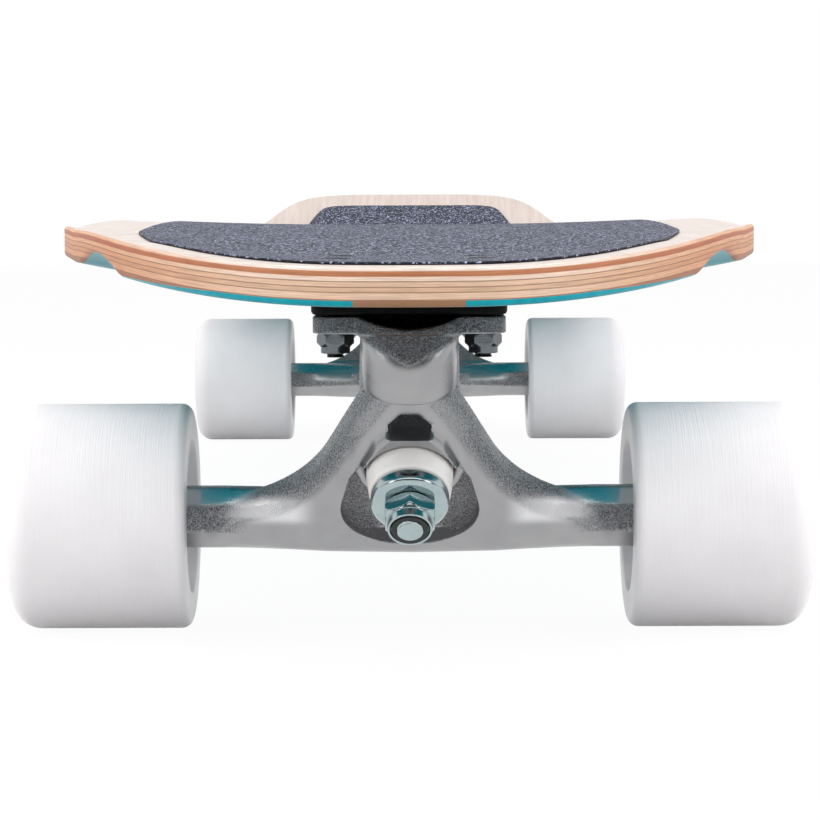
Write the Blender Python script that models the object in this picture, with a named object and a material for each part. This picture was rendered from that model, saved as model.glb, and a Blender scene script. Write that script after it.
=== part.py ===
"""Kicktail longboard with two reverse kingpin trucks, four wheels and a laminated deck.

Metres, Z up, nose at -Y, kicktail at +Y, axles along X. The wheels stand on Z = 0
and the origin is on the ground under the middle of the deck.
"""
import math

import bmesh
import bpy
import numpy as np
from mathutils import Matrix, Vector

mm = 0.001
hair = 1e-6 * mm

# Running and seating clearances
seat_gap = 0.3 * mm
hole_gap = 0.4 * mm
overcut = 3 * mm

# Deck
wheelbase = 660 * mm
nose_overhang = 114 * mm
tail_overhang = 159 * mm
deck_half_width = 120 * mm
deck_thickness = 10 * mm
edge_radius = 1.3 * mm
nose_taper = 330 * mm
tail_half_width = 79 * mm
tail_taper = 270 * mm
tail_taper_end = 90 * mm
tail_corner = 59 * mm
corner_power = 3.6
section_shares = (0.2, 0.6, 1.0)
camber_rise = 8.8 * mm
truck_flat = 45 * mm
concave_flat = 15 * mm
concave_at_trucks = 15.7 * mm
concave_in_middle = 3.0 * mm
concave_fade = 220 * mm
concave_lead = 19 * mm
kick_angle = math.radians(17)
kick_bend_radius = 110 * mm
kick_setback = 56 * mm

# Grip sheet on the deck
grip_thickness = 0.5 * mm
grip_border = 25 * mm

# Wheel wells, scooped out of the deck's underside over each wheel
well_radius = 104 * mm
well_depth = 4.5 * mm
well_inner_edge = 60 * mm
well_lip = 2 * mm
well_run_in = 6 * mm
well_shoulder = 0.6

# Wheels
wheel_radius = 32.5 * mm
wheel_width = 51 * mm
wheel_track = 177 * mm
outer_corner = 7.5 * mm
inner_corner = 3.0 * mm
hub_recess_radius = 22.3 * mm
core_radius = 17 * mm
core_wall = 2.6 * mm
core_width = 30 * mm
recess_floor = 16.8 * mm
bearing_stop = 2 * mm

# Ball bearings with a spacer between each pair
bearing_radius = 11 * mm
bearing_width = 7 * mm
inner_race_radius = 5.7 * mm
spacer_length = 10 * mm
spacer_radius = 5.2 * mm
speed_washer = 1 * mm

# Axles and their nuts
axle_radius = 4 * mm
axle_end = 1.5 * mm
axle_nut_across = 13 * mm
axle_nut_height = 7 * mm
steel_chamfer = 0.7 * mm
nut_chamfer = 0.08
nut_face = 0.9

# Truck layout: the kingpin points down and outboard, the pivot axis is square to it
kingpin_tilt = math.radians(40)
axle_drop = 30.5 * mm
axle_rake = 4.4 * mm
pivot_reach = 35 * mm
plate_rise = 54.6 * mm

# Baseplate
plate_width = 52.7 * mm
plate_front = 50 * mm
plate_back = 40 * mm
plate_thickness = 4.8 * mm
plate_corner = 7 * mm
riser_thickness = 3.9 * mm
riser_margin = 0.4 * mm
boss_tilt = math.radians(22)
boss_radius = 13 * mm
boss_drop = 7.8 * mm
boss_flat_start = 78.2 * mm
boss_flat_lean = 0.42
kingpin_boss_radius = 14.5 * mm
hollow_radius = 29 * mm
hollow_depth = 3.4 * mm
hollow_start = 22 * mm
gusset_half_width = 3.5 * mm
gusset_drop = 7 * mm
casting_chamfer = 1 * mm
trim_height = 35 * mm

# Pivot cup and pivot nose
nose_radius = 6 * mm
nose_play = 0.5 * mm
nose_relief = 1.2 * mm
cup_wall = 1.5 * mm
cup_floor = 1.2 * mm
cup_mouth = 3.2 * mm
cup_flare = 0.9 * mm
cup_shoulder = 4 * mm
cup_top_radius = 4.6 * mm
neck_radius = 7.4 * mm
neck_foot = 17 * mm
neck_top = 23.4 * mm
dome_angles = (math.pi / 6, math.pi / 3, math.pi / 2)

# Kingpin, its nut, the bushings and the washers
kingpin_radius = 4.75 * mm
kingpin_play = 1.9 * mm
kingpin_end = 31.2 * mm
kingpin_head_seat = 46 * mm
kingpin_head_radius = 8 * mm
kingpin_head_height = 6 * mm
kingpin_nut_across = 13.6 * mm
kingpin_nut_height = 8 * mm
bushing_radius = 12.1 * mm
bushing_waist = 11.3 * mm
bushing_height = 12.9 * mm
bushing_corner = 1.2 * mm
washer_thickness = 2 * mm
road_washer_radius = 10.9 * mm
board_washer_radius = 12.4 * mm

# Hanger, whose outlines lie in the plane square to the kingpin, measured from the kingpin's ring
hanger_half_width = 75 * mm
arm_radius = 8.8 * mm
arm_facets = 8
yoke_end = 62 * mm
yoke_low = -38 * mm
yoke_depth = 10.6 * mm
yoke_ease = 0.2 * mm
yoke_front = [(17 * mm, 33 * mm), (28 * mm, 20.5 * mm), (36 * mm, 13.6 * mm)]
frame_back = 4.7 * mm
face_front = 7.3 * mm
face_chamfer = 1.8 * mm
face_end = 24 * mm
leg_half_width = 23.4 * mm
leg_splay = 0.463
leg_fillet = 40 * mm
leg_fillet_steps = 6
leg_top = 30 * mm
apex_gap = 1.8 * mm
opening_half_width = 19.7 * mm
opening_widest = -15.5 * mm
opening_foot = -30.4 * mm
opening_power = 2.3
opening_bowl_steps = 5
opening_bend = (16.1 * mm, -0.2 * mm)
opening_shoulder = (7.5 * mm, 14 * mm)
opening_top_half_width = 2.1 * mm
opening_top = 21.4 * mm
pocket_floor = 1.6 * mm
ring_radius = 15.3 * mm
ring_front = 11.4 * mm
ring_step = 6.2 * mm
ring_back = 9 * mm
seat_web = 4 * mm
arch_top = 16.3 * mm
arch_top_half_width = 7.5 * mm
arch_foot_reach = 15.2 * mm
arch_foot_height = -0.5 * mm
arch_seat_reach = 11.6 * mm
arch_seat_height = 5.5 * mm
window_foot = 15.8 * mm
window_half_width = 6.4 * mm
window_top = 20.8 * mm
window_top_half_width = 2.4 * mm

# Mounting bolts through the deck
bolt_pitch_across = 41.3 * mm
bolt_pitch_along = 53.98 * mm
bolt_lead = 26 * mm
bolt_radius = 2.4 * mm
bolt_head_radius = 4.75 * mm
bolt_head_height = 2.8 * mm
bolt_head_proud = 0.25 * mm
bolt_shank_room = 1.2 * mm
head_room = 4 * mm
bolt_tail = 1.1 * mm
mount_nut_across = 9 * mm
mount_nut_height = 6 * mm

# Facets of the round pieces
wheel_facets = 28
boss_facets = 20
round_facets = 16
small_facets = 8
well_facets = 36
hollow_facets = 40
neck_facets = 14
bore_facets = 12
core_facets = 12
axle_facets = 10
bearing_facets = 14
grip_nose_steps = 9
deck_nose_steps = 10
middle_steps = 6
bend_steps = 3
grip_tail_steps = 4
deck_tail_steps = 5

# Places worked out from the sizes above
deck_length = nose_overhang + wheelbase + tail_overhang
nose_tip_y = -deck_length / 2
tail_end_y = deck_length / 2
front_axle_y = nose_tip_y + nose_overhang
rear_axle_y = front_axle_y + wheelbase
grip_nose_y = nose_tip_y + grip_border
grip_tail_y = tail_end_y - grip_border
plate_bottom = wheel_radius + plate_rise
plate_top = plate_bottom + plate_thickness
riser_bottom = plate_top + seat_gap
deck_bottom = riser_bottom + riser_thickness + seat_gap
ring_out = axle_drop * math.sin(kingpin_tilt) + axle_rake * math.cos(kingpin_tilt)
ring_height = wheel_radius + axle_drop * math.cos(kingpin_tilt) - axle_rake * math.sin(kingpin_tilt)
bushing_seat = seat_web + seat_gap
washer_seat = bushing_seat + bushing_height + seat_gap
washer_face = washer_seat + washer_thickness
boss_seat = washer_face + seat_gap
wheel_centre = wheel_track / 2
bearing_reach = spacer_length / 2 + bearing_width
cup_bore = nose_radius + nose_play
cup_radius = cup_bore + cup_wall
cup_end = cup_bore + cup_floor
grip_top = deck_bottom + deck_thickness + seat_gap + grip_thickness
head_top = grip_top + bolt_head_proud
head_cone_low = head_top - bolt_head_height - bolt_shank_room
hole_top = head_top + head_room


# Ways of making a solid

def smooth(share):
    """Smooth step: nought below 0, one above 1, with level ends between them."""
    share = min(max(share, 0.0), 1.0)
    return share * share * (3 - 2 * share)


def material(name, colour, roughness, metallic=0.0):
    """A Principled material of one colour."""
    finish = bpy.data.materials.new(name)
    finish.use_nodes = True
    shader = finish.node_tree.nodes["Principled BSDF"]
    shader.inputs["Base Color"].default_value = (*colour, 1)
    shader.inputs["Roughness"].default_value = roughness
    shader.inputs["Metallic"].default_value = metallic
    return finish


def solid(name, shape, finish, parent=None, sharp_angle=35):
    """An object from points and faces, with doubled points merged and faces turned outwards."""
    vertices, faces = shape
    mesh = bpy.data.meshes.new(name)
    body = bmesh.new()
    points = [body.verts.new(point) for point in vertices]
    for face in faces:
        body.faces.new([points[corner] for corner in face])
    bmesh.ops.remove_doubles(body, verts=body.verts, dist=1e-6)
    loose = [edge for edge in body.edges if not edge.link_faces]
    bmesh.ops.delete(body, geom=loose, context="EDGES")
    bmesh.ops.recalc_face_normals(body, faces=body.faces)
    body.to_mesh(mesh)
    body.free()
    mesh.shade_smooth()
    mesh.set_sharp_from_angle(angle=math.radians(sharp_angle))
    mesh.materials.append(finish)
    thing = bpy.data.objects.new(name, mesh)
    bpy.context.scene.collection.objects.link(thing)
    thing.parent = parent
    return thing


def loft(sections, capped=True):
    """Points and faces through closed sections of equal count, with flat ends where they are capped."""
    count = len(sections[0])
    vertices = [point for section in sections for point in section]
    faces = []
    if capped:
        faces = [tuple(range(count)), tuple(range(len(vertices) - 1, len(vertices) - count - 1, -1))]
    for level in range(len(sections) - 1):
        low, high = level * count, (level + 1) * count
        for side in range(count):
            after = (side + 1) % count
            faces.append((low + side, high + side, high + after, low + after))
    return vertices, faces


def split_alike(shape):
    """Four-sided faces as triangles, all cut from the corner nearer the middle and the nose."""
    vertices, faces = shape
    split = []
    for a, b, c, d in faces:
        if abs(vertices[a][0]) <= abs(vertices[d][0]):
            split += [(a, b, c), (a, c, d)]
        else:
            split += [(a, b, d), (b, c, d)]
    return vertices, split


def along_axis(axis, a, b, c):
    """A point with c measured along the axis and a and b square to it."""
    return {"X": (c, a, b), "Y": (b, c, a), "Z": (a, b, c)}[axis]


def turned(profile, facets, axis, turn=0.5):
    """A closed outline of (radius, place) pairs turned round an axis."""
    sections = []
    for step in range(facets):
        angle = 2 * math.pi * (step + turn) / facets
        side, up = math.cos(angle), math.sin(angle)
        sections.append([along_axis(axis, r * side, r * up, place) for r, place in profile])
    return loft(sections + sections[:1], capped=False)


def rod(radius, start, end, facets, axis):
    """A plain cylinder along an axis, turned a little so that it shares no facet edge with another."""
    return turned([(0, start), (radius, start), (radius, end), (0, end)], facets, axis, 0.2)


def nut(across, start, end, bore, axis):
    """A hexagon nut along an axis, chamfered at the end that is named last."""
    towards = math.copysign(nut_chamfer * across, end - start)
    corner = across / 2 / math.cos(math.pi / 6)
    hexagon_bore = bore / math.cos(math.pi / 6)
    profile = [(hexagon_bore, start), (corner, start), (corner, end - towards),
               (nut_face * corner, end), (hexagon_bore, end)]
    return turned(profile, 6, axis, 0)


def prism(levels):
    """A solid along Y through (place, outline) pairs, each outline a list of (x, z) pairs."""
    return loft([[(x, place, z) for x, z in outline] for place, outline in levels])


def slab(outline, low, high):
    """A solid along Z over an outline of (x, y) pairs."""
    return loft([[(x, y, level) for x, y in outline] for level in (low, high)])


def moved(shape, offset):
    """The same points and faces, shifted by an offset."""
    vertices, faces = shape
    return [tuple(Vector(point) + Vector(offset)) for point in vertices], faces


def tipped(shape, angle, centre=(0, 0, 0)):
    """The same points and faces, turned round X about a centre."""
    vertices, faces = shape
    spin = Matrix.Rotation(angle, 3, "X")
    return [tuple(spin @ (Vector(point) - Vector(centre)) + Vector(centre)) for point in vertices], faces


def together(shapes):
    """Separate shapes as one list of points and faces."""
    vertices, faces = [], []
    for points, sides in shapes:
        start = len(vertices)
        vertices += points
        faces += [tuple(corner + start for corner in side) for side in sides]
    return vertices, faces


def combine(target, shape, kind):
    """Adds a Boolean modifier whose tool is a hidden guide in the target's own frame."""
    name = f"{target.name}_guide_{len(target.modifiers)}"
    tool = solid(name, shape, target.data.materials[0], target.parent)
    tool.location = target.location
    tool.hide_render = True
    tool.display_type = "WIRE"
    step = target.modifiers.new(tool.name, "BOOLEAN")
    step.operation = kind
    step.solver = "EXACT"
    step.object = tool


def cut(target, shape):
    combine(target, shape, "DIFFERENCE")


def add(target, shape):
    combine(target, shape, "UNION")


def drawn_in(outline, distance):
    """An outline moved inwards along its normals, for outlines that run anticlockwise."""
    path = np.array(outline)
    along = np.roll(path, -1, axis=0) - np.roll(path, 1, axis=0)
    along /= np.linalg.norm(along, axis=1, keepdims=True)
    inward = np.column_stack([-along[:, 1], along[:, 0]])
    return [tuple(point) for point in path + inward * distance]


def mirrored(right_side):
    """A whole outline from its right half, which runs from the bottom to the top at x >= 0."""
    return right_side + [(-x, z) for x, z in reversed(right_side) if x > hair]


def rounded_rectangle(half, low, high, radius, steps=3):
    """Outline of (x, y) pairs, anticlockwise, with quarter round corners."""
    corners = [(half - radius, low + radius, -90), (half - radius, high - radius, 0),
               (radius - half, high - radius, 90), (radius - half, low + radius, 180)]
    points = []
    for x, y, start in corners:
        for step in range(steps + 1):
            angle = math.radians(start + 90 * step / steps)
            points.append((x + radius * math.cos(angle), y + radius * math.sin(angle)))
    return points


# Deck and grip sheet

def camber(y):
    """Height of the arch between the two trucks."""
    start, end = front_axle_y + truck_flat, rear_axle_y - truck_flat
    share = (y - start) / (end - start)
    return camber_rise * math.sin(math.pi * share) if 0 < share < 1 else 0.0


def kick(y):
    """Height and slope of the kicktail: a round bend, then straight."""
    past = y - (rear_axle_y + kick_setback)
    bend = kick_bend_radius * math.sin(kick_angle)
    if past <= 0:
        return 0.0, 0.0
    if past < bend:
        level = math.sqrt(kick_bend_radius**2 - past**2)
        return kick_bend_radius - level, past / level
    slope = math.tan(kick_angle)
    return kick_bend_radius * (1 - math.cos(kick_angle)) + (past - bend) * slope, slope


def concave(x, y):
    """Rise of the deck at x: level along the middle, then a curve that is deepest at the trucks."""
    reach = deck_half_width - concave_flat
    inboard = min(y - front_axle_y, rear_axle_y - y) + concave_lead
    depth = concave_at_trucks + (concave_in_middle - concave_at_trucks) * smooth(inboard / concave_fade)
    depth *= 1 - smooth((y - rear_axle_y - kick_setback) / tail_corner)
    return depth * (max(abs(x) - concave_flat, 0.0) / reach) ** 2


def deck_under(x, y):
    """Height of the deck's underside."""
    return deck_bottom + camber(y) + concave(x, y) + kick(y)[0]


def deck_over(x, y):
    """Height of the deck's top, with the thickness measured square to the kicktail."""
    return deck_under(x, y) + deck_thickness * math.sqrt(1 + kick(y)[1] ** 2)


def half_width(y, border=0.0):
    """Half the width of the deck at y, or of an outline that lies a border inside it."""
    centre = nose_tip_y + nose_taper
    if y < centre:
        share = min((centre - y) / (nose_taper - border), 1.0)
        return (deck_half_width - border) * math.sqrt(1 - share**2)
    narrow = smooth((y - rear_axle_y - tail_taper_end + tail_taper) / tail_taper)
    width = deck_half_width - border - (deck_half_width - tail_half_width) * narrow
    share = min(max((y - tail_end_y + tail_corner) / (tail_corner - border), 0.0), 1.0)
    return 0.0 if share > 1 - hair else width * (1 - share**corner_power) ** (1 / corner_power)


def nose_stations(border, count, last):
    """Places along Y that follow the round of the nose evenly, from the tip of an outline inwards."""
    reach = nose_taper - border
    centre = nose_tip_y + nose_taper
    return [centre - reach * math.cos(last * step / count) for step in range(count + 1)]


def tail_stations(border, count, first=0.6):
    """Places along Y that follow the corners of the tail evenly, up to the end of an outline."""
    reach = tail_corner - border
    shares = [math.sin(first + (math.pi / 2 - first) * step / count) for step in range(count + 1)]
    return [tail_end_y - tail_corner + reach * share ** (2 / corner_power) for share in shares]


def deck_stations():
    """Places along Y where the deck and the grip sheet have their cross-sections."""
    grip_nose = nose_stations(grip_border, grip_nose_steps, math.pi / 2)
    deck_nose = [y for y in nose_stations(0, deck_nose_steps, math.pi / 3) if y < grip_nose[0] - mm]
    grip_tail = tail_stations(grip_border, grip_tail_steps)
    deck_tail = [y for y in tail_stations(0, deck_tail_steps) if y > grip_tail[-1] + mm]
    bend_start = rear_axle_y + kick_setback
    bend_end = bend_start + kick_bend_radius * math.sin(kick_angle)
    middle = list(np.linspace(grip_nose[-1], bend_start, middle_steps + 1)[1:-1])
    bend = list(np.linspace(bend_start, bend_end, bend_steps + 1))
    return deck_nose + grip_nose + middle + bend + grip_tail + deck_tail


def spans(width):
    """Places across the grip sheet, from the middle to its edge, shared with the deck under it."""
    return [0.0] + [share * width for share in section_shares]


def closed_section(right_side):
    """A whole cross-section from its right half, which starts and ends in the middle of the board."""
    return right_side + [(-x, y, z) for x, y, z in reversed(right_side[1:-1])]


def outward_at(y):
    """Direction square to the deck's outline at y, in plan."""
    if half_width(y) < hair:
        return Vector((0, math.copysign(1, y)))
    step = 0.2 * mm
    ahead, behind = min(y + step, tail_end_y), max(y - step, nose_tip_y)
    return Vector((1, -(half_width(ahead) - half_width(behind)) / (2 * step))).normalized()


def build_deck(finish):
    """The laminated deck: cross-sections with chamfered edges, from the nose's tip to the tail's end."""
    sections = []
    for y in deck_stations():
        width = half_width(y)
        outward = outward_at(y)
        inner = max(width - edge_radius * outward.x, 0.0)
        inner_y = y - edge_radius * outward.y
        gripped = grip_nose_y - hair <= y <= grip_tail_y + hair
        across = spans(half_width(y, grip_border) if gripped else 0.5 * inner)
        place = y if gripped else inner_y
        over, under = deck_over(inner, inner_y), deck_under(inner, inner_y)
        edge = [(inner, inner_y, over), (width, y, over - edge_radius),
                (width, y, under + edge_radius), (inner, inner_y, under)]
        top = [(x, place, deck_over(x, place)) for x in across]
        bottom = [(x, place, deck_under(x, place)) for x in reversed(across)]
        sections.append(closed_section(top + edge + bottom))
    deck = solid("deck", split_alike(loft(sections, capped=False)), finish, sharp_angle=30)
    for axle_y in (front_axle_y, rear_axle_y):
        for side in (-1, 1):
            cut(deck, wheel_well(side, axle_y))
    shank, sink = bolt_radius + hole_gap, bolt_head_radius + hole_gap
    holes = [(shank, deck_bottom - overcut), (shank, head_cone_low), (sink, head_cone_low + bolt_head_height),
             (sink, hole_top)]
    cut(deck, drilled(holes))


def wheel_well(side, axle_y):
    """A scoop over one wheel: an arc along the board that rises towards the deck's edge."""
    edge = half_width(axle_y)
    top = deck_under(edge, axle_y) + well_depth
    start = deck_under(well_inner_edge, axle_y)
    centre = top - well_radius
    foot = start - centre
    outer = deck_half_width + overcut
    rise = well_radius - foot
    halfway = (foot + well_shoulder * rise, (well_inner_edge + edge) / 2)
    profile = [(0, well_inner_edge - well_run_in), (foot - well_lip, well_inner_edge - well_run_in),
               (foot, well_inner_edge), halfway, (well_radius, edge), (well_radius + mm, outer), (0, outer)]
    shape = turned([(r, side * place) for r, place in profile], well_facets, "X")
    return moved(shape, (0, axle_y, centre))


def drilled(profile):
    """Eight holes of one profile, at every mounting bolt."""
    bore = turned([(0, profile[0][1])] + profile + [(0, profile[-1][1])], small_facets, "Z")
    return together([moved(bore, (x, y, 0)) for x, y in bolt_places()])


def bolt_places():
    """The x and y of the eight mounting bolts, front truck first."""
    places = []
    for axle_y, outboard in ((front_axle_y, -1), (rear_axle_y, 1)):
        for along in (bolt_lead, bolt_lead - bolt_pitch_along):
            for side in (-1, 1):
                places.append((side * bolt_pitch_across / 2, axle_y + outboard * along))
    return places


def build_grip(finish):
    """The abrasive sheet, which follows the deck's top a border inside its edge."""
    sections = []
    for y in deck_stations():
        if not grip_nose_y - hair <= y <= grip_tail_y + hair:
            continue
        across = spans(half_width(y, grip_border))
        top = [(x, y, deck_over(x, y) + seat_gap + grip_thickness) for x in across]
        bottom = [(x, y, deck_over(x, y) + seat_gap) for x in reversed(across)]
        sections.append(closed_section(top + bottom))
    grip = solid("grip_tape", split_alike(loft(sections, capped=False)), finish)
    reach = bolt_head_radius + hole_gap
    cut(grip, drilled([(reach, grip_top - overcut), (reach, hole_top)]))


# Trucks

def frame_of_truck(end, axle_y, facing):
    """Two empties: one upright under the truck, -Y outboard, one at the kingpin, Z up the pivot axis."""
    upright = bpy.data.objects.new(f"{end}_truck", None)
    upright.location = (0, axle_y, 0)
    upright.rotation_euler = (0, 0, 0 if facing > 0 else math.pi)
    tilted = bpy.data.objects.new(f"{end}_steering", None)
    tilted.location = (0, -ring_out, ring_height)
    tilted.rotation_euler = (kingpin_tilt, 0, 0)
    tilted.parent = upright
    for empty in (upright, tilted):
        bpy.context.scene.collection.objects.link(empty)
    return upright, tilted


def plate_outline(margin):
    """Outline of the baseplate, or of the riser pad that stands a margin outside it."""
    half = plate_width / 2 + margin
    return rounded_rectangle(half, -plate_front - margin, plate_back + margin, plate_corner)


def plate_holes(low, high):
    """Four bolt holes in the truck's own frame, where outboard is -Y."""
    shapes = []
    for along in (bolt_lead, bolt_lead - bolt_pitch_along):
        for side in (-1, 1):
            hole = rod(bolt_radius + hole_gap, low, high, small_facets, "Z")
            shapes.append(moved(hole, (side * bolt_pitch_across / 2, -along, 0)))
    return together(shapes)


def build_riser(end, upright, finish):
    """The flat pad between baseplate and deck."""
    pad = slab(plate_outline(riser_margin), riser_bottom, riser_bottom + riser_thickness)
    riser = solid(f"{end}_riser_pad", pad, finish, upright)
    cut(riser, plate_holes(riser_bottom - overcut, deck_bottom))


def on_pivot_axis(reach):
    """A point of the pivot axis in the truck's upright frame, a reach above the kingpin."""
    return Vector((0, -ring_out - reach * math.sin(kingpin_tilt),
                   ring_height + reach * math.cos(kingpin_tilt)))


def boss_front(height):
    """Where the pivot boss's foremost line lies at a height, in the truck's upright frame."""
    pivot = on_pivot_axis(pivot_reach)
    return pivot.y - (height - pivot.z) * math.tan(boss_tilt) - boss_radius / math.cos(boss_tilt)


def build_baseplate(end, upright, finish):
    """The cast baseplate: a plate with the pivot boss outboard and the sloping kingpin boss inboard."""
    blank = slab(plate_outline(0), plate_bottom, plate_top + overcut)
    plate = solid(f"{end}_baseplate", blank, finish, upright)
    pivot = on_pivot_axis(pivot_reach)
    boss = turned([(0, -boss_drop), (boss_radius - casting_chamfer, -boss_drop),
                   (boss_radius, casting_chamfer - boss_drop), (boss_radius + casting_chamfer, trim_height),
                   (0, trim_height)], boss_facets, "Z")
    add(plate, moved(tipped(boss, boss_tilt), pivot))
    ring = on_pivot_axis(0)
    pillar = turned([(0, boss_seat), (kingpin_boss_radius - casting_chamfer, boss_seat),
                     (kingpin_boss_radius, boss_seat + casting_chamfer),
                     (kingpin_boss_radius + casting_chamfer, 2 * trim_height), (0, 2 * trim_height)],
                    boss_facets, "Y")
    add(plate, moved(tipped(pillar, kingpin_tilt), ring))
    seat_y = ring.y + boss_seat * math.cos(kingpin_tilt)
    seat_z = ring.z + boss_seat * math.sin(kingpin_tilt)
    inside = plate_bottom + casting_chamfer
    web = [(seat_y + kingpin_boss_radius / 2, seat_z + kingpin_boss_radius / 2),
           (plate_back - plate_corner, inside), (plate_corner + boss_radius / 2 - plate_front, inside),
           (pivot.y + boss_radius / 2, pivot.z), (seat_y - overcut, plate_bottom - gusset_drop)]
    add(plate, loft([[(x, y, z) for y, z in web] for x in (-gusset_half_width, gusset_half_width)]))
    room = 2 * plate_width
    everywhere = rounded_rectangle(room, -room, room, plate_corner)
    cut(plate, slab(everywhere, plate_top, plate_top + 2 * trim_height))
    hollow = rod(hollow_radius, -room, -hollow_start, hollow_facets, "Y")
    cut(plate, moved(hollow, (0, 0, plate_top - hollow_depth + hollow_radius)))
    flat = tipped(slab(everywhere, 0, room), math.pi / 2 - math.atan(boss_flat_lean))
    cut(plate, moved(flat, (0, boss_front(boss_flat_start), boss_flat_start)))
    bore = turned([(0, -boss_drop - overcut), (cup_radius + seat_gap, -boss_drop - overcut),
                   (cup_radius + seat_gap, cup_shoulder), (cup_top_radius + seat_gap, cup_end + seat_gap),
                   (0, cup_end + seat_gap)], boss_facets, "Z", 0.2)
    cut(plate, moved(tipped(bore, boss_tilt), pivot))
    shank, sink = kingpin_radius + hole_gap, kingpin_head_radius + 2 * hole_gap
    shoulder = kingpin_head_seat - seat_gap
    stem = turned([(0, 0), (shank, 0), (shank, shoulder), (sink, shoulder), (sink, 2 * trim_height),
                   (0, 2 * trim_height)], round_facets, "Y")
    cut(plate, moved(tipped(stem, kingpin_tilt), ring))
    cut(plate, plate_holes(plate_bottom - overcut, plate_top + overcut))


def build_pivot_cup(end, upright, finish):
    """The cup that the hanger's nose turns in, pressed into the pivot boss."""
    profile = [(cup_bore + cup_flare, -cup_mouth), (cup_radius, -cup_mouth), (cup_radius, cup_shoulder),
               (cup_top_radius, cup_end), (0, cup_end), (0, cup_bore)]
    profile += [(cup_bore * math.sin(angle), cup_bore * math.cos(angle)) for angle in dome_angles]
    cup = solid(f"{end}_pivot_cup", tipped(turned(profile, round_facets, "Z"), boss_tilt), finish, upright)
    cup.location = on_pivot_axis(pivot_reach)


def build_kingpin(end, tilted, finish):
    """The kingpin with its head sunk in the baseplate, and the lock nut at its lower end."""
    head = kingpin_head_seat + kingpin_head_height
    profile = [(0, -kingpin_end), (kingpin_radius - steel_chamfer, -kingpin_end),
               (kingpin_radius, steel_chamfer - kingpin_end), (kingpin_radius, kingpin_head_seat),
               (kingpin_head_radius, kingpin_head_seat), (kingpin_head_radius, head - steel_chamfer),
               (kingpin_head_radius - steel_chamfer, head), (0, head)]
    solid(f"{end}_kingpin", turned(profile, 12, "Y"), finish, tilted)
    start = -washer_face - seat_gap
    lock = nut(kingpin_nut_across, start, start - kingpin_nut_height, kingpin_radius + hole_gap, "Y")
    solid(f"{end}_kingpin_nut", lock, finish, tilted)


def build_bushings(end, tilted, finish):
    """Two urethane bushings, a barrel on the road side of the seat and a cylinder on the board side."""
    bore = kingpin_radius + hole_gap
    near, far = bushing_seat, bushing_seat + bushing_height
    barrel = [(bore, near), (bushing_radius - bushing_corner, near), (bushing_radius, near + bushing_corner),
              (bushing_radius, (near + far) / 2), (bushing_waist, far - bushing_corner),
              (bushing_waist - bushing_corner, far), (bore, far)]
    cylinder = [(bore, near), (bushing_radius, near), (bushing_radius, far), (bore, far)]
    for name, way, profile in (("roadside", -1, barrel), ("boardside", 1, cylinder)):
        shape = turned([(r, way * place) for r, place in profile], round_facets, "Y")
        solid(f"{end}_{name}_bushing", shape, finish, tilted)


def build_washers(end, tilted, finish):
    """The washers that hold the outer ends of the bushings."""
    bore = kingpin_radius + hole_gap
    for name, way, radius in (("roadside", -1, road_washer_radius), ("boardside", 1, board_washer_radius)):
        profile = [(bore, washer_seat), (radius, washer_seat), (radius, washer_face - steel_chamfer),
                   (radius - steel_chamfer, washer_face), (bore, washer_face)]
        shape = turned([(r, way * place) for r, place in profile], round_facets, "Y")
        solid(f"{end}_{name}_washer", shape, finish, tilted)


def leg_edge():
    """Outer edge of one leg, from the arm up: a large fillet, then a straight leg that leans inwards."""
    lean = math.atan(leg_splay)
    arm_top = arm_radius - yoke_ease - axle_drop
    centre_z = arm_top + leg_fillet
    centre_x = leg_half_width + leg_fillet / math.cos(lean) - leg_splay * centre_z
    edge = [(yoke_end, arm_top)]
    for step in range(leg_fillet_steps + 1):
        angle = lean + (math.pi / 2 - lean) * (1 - step / leg_fillet_steps)
        x, z = centre_x - leg_fillet * math.cos(angle), centre_z - leg_fillet * math.sin(angle)
        edge.append((x, z))
    return edge + [(leg_half_width - leg_splay * leg_top, leg_top)]


def frame_outline():
    """Right half of the hanger's A shape, as (x, z) pairs in the tilted frame, from the bottom up."""
    return [(0, yoke_low), (yoke_end, yoke_low)] + leg_edge() + [(0, leg_top)]


def opening_side():
    """The opening's right edge above its widest place."""
    return [(opening_half_width, opening_widest), opening_bend, opening_shoulder,
            (opening_top_half_width, opening_top)]


def opening_outline():
    """Right half of the rounded triangle between the hanger's legs, from the bottom up."""
    bowl = []
    for step in range(opening_bowl_steps):
        angle = math.pi / 2 * step / opening_bowl_steps
        x = opening_half_width * math.sin(angle) ** (2 / opening_power)
        z = opening_widest - (opening_widest - opening_foot) * math.cos(angle) ** (2 / opening_power)
        bowl.append((x, z))
    return bowl + opening_side() + [(0, opening_top)]


def both_sides(shape):
    """A shape and its mirror image across the middle, as one list of points and faces."""
    vertices, faces = shape
    return together([shape, ([(-x, y, z) for x, y, z in vertices], faces)])


def trim_yoke(hanger):
    """Planes that thin the yoke towards the arms: its slanted front, its upright front and its underside."""
    far, flush, past = 2 * leg_fillet, arm_radius - yoke_ease, yoke_end + overcut
    slant = (face_front + axle_rake - flush) / (past - face_end)
    inner = face_end - overcut
    slanted = [(-inner, -face_front - slant * overcut), (-past, axle_rake - flush),
               (-past, -far), (-inner, -far)]
    cut(hanger, both_sides(slab(slanted, -far, far)))
    upright = [(-x, -out) for x, out in yoke_front] + [(-past, -flush), (-past, -far)]
    upright.append((-yoke_front[0][0], -far))
    underside = [(0, -yoke_depth), (-past, -flush), (-past, -far), (past, -far), (past, -flush)]
    axle = (0, axle_rake, -axle_drop)
    cut(hanger, moved(tipped(both_sides(slab(upright, -far, far)), -kingpin_tilt), axle))
    cut(hanger, moved(tipped(prism([(-far, underside), (far, underside)]), -kingpin_tilt), axle))


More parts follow.
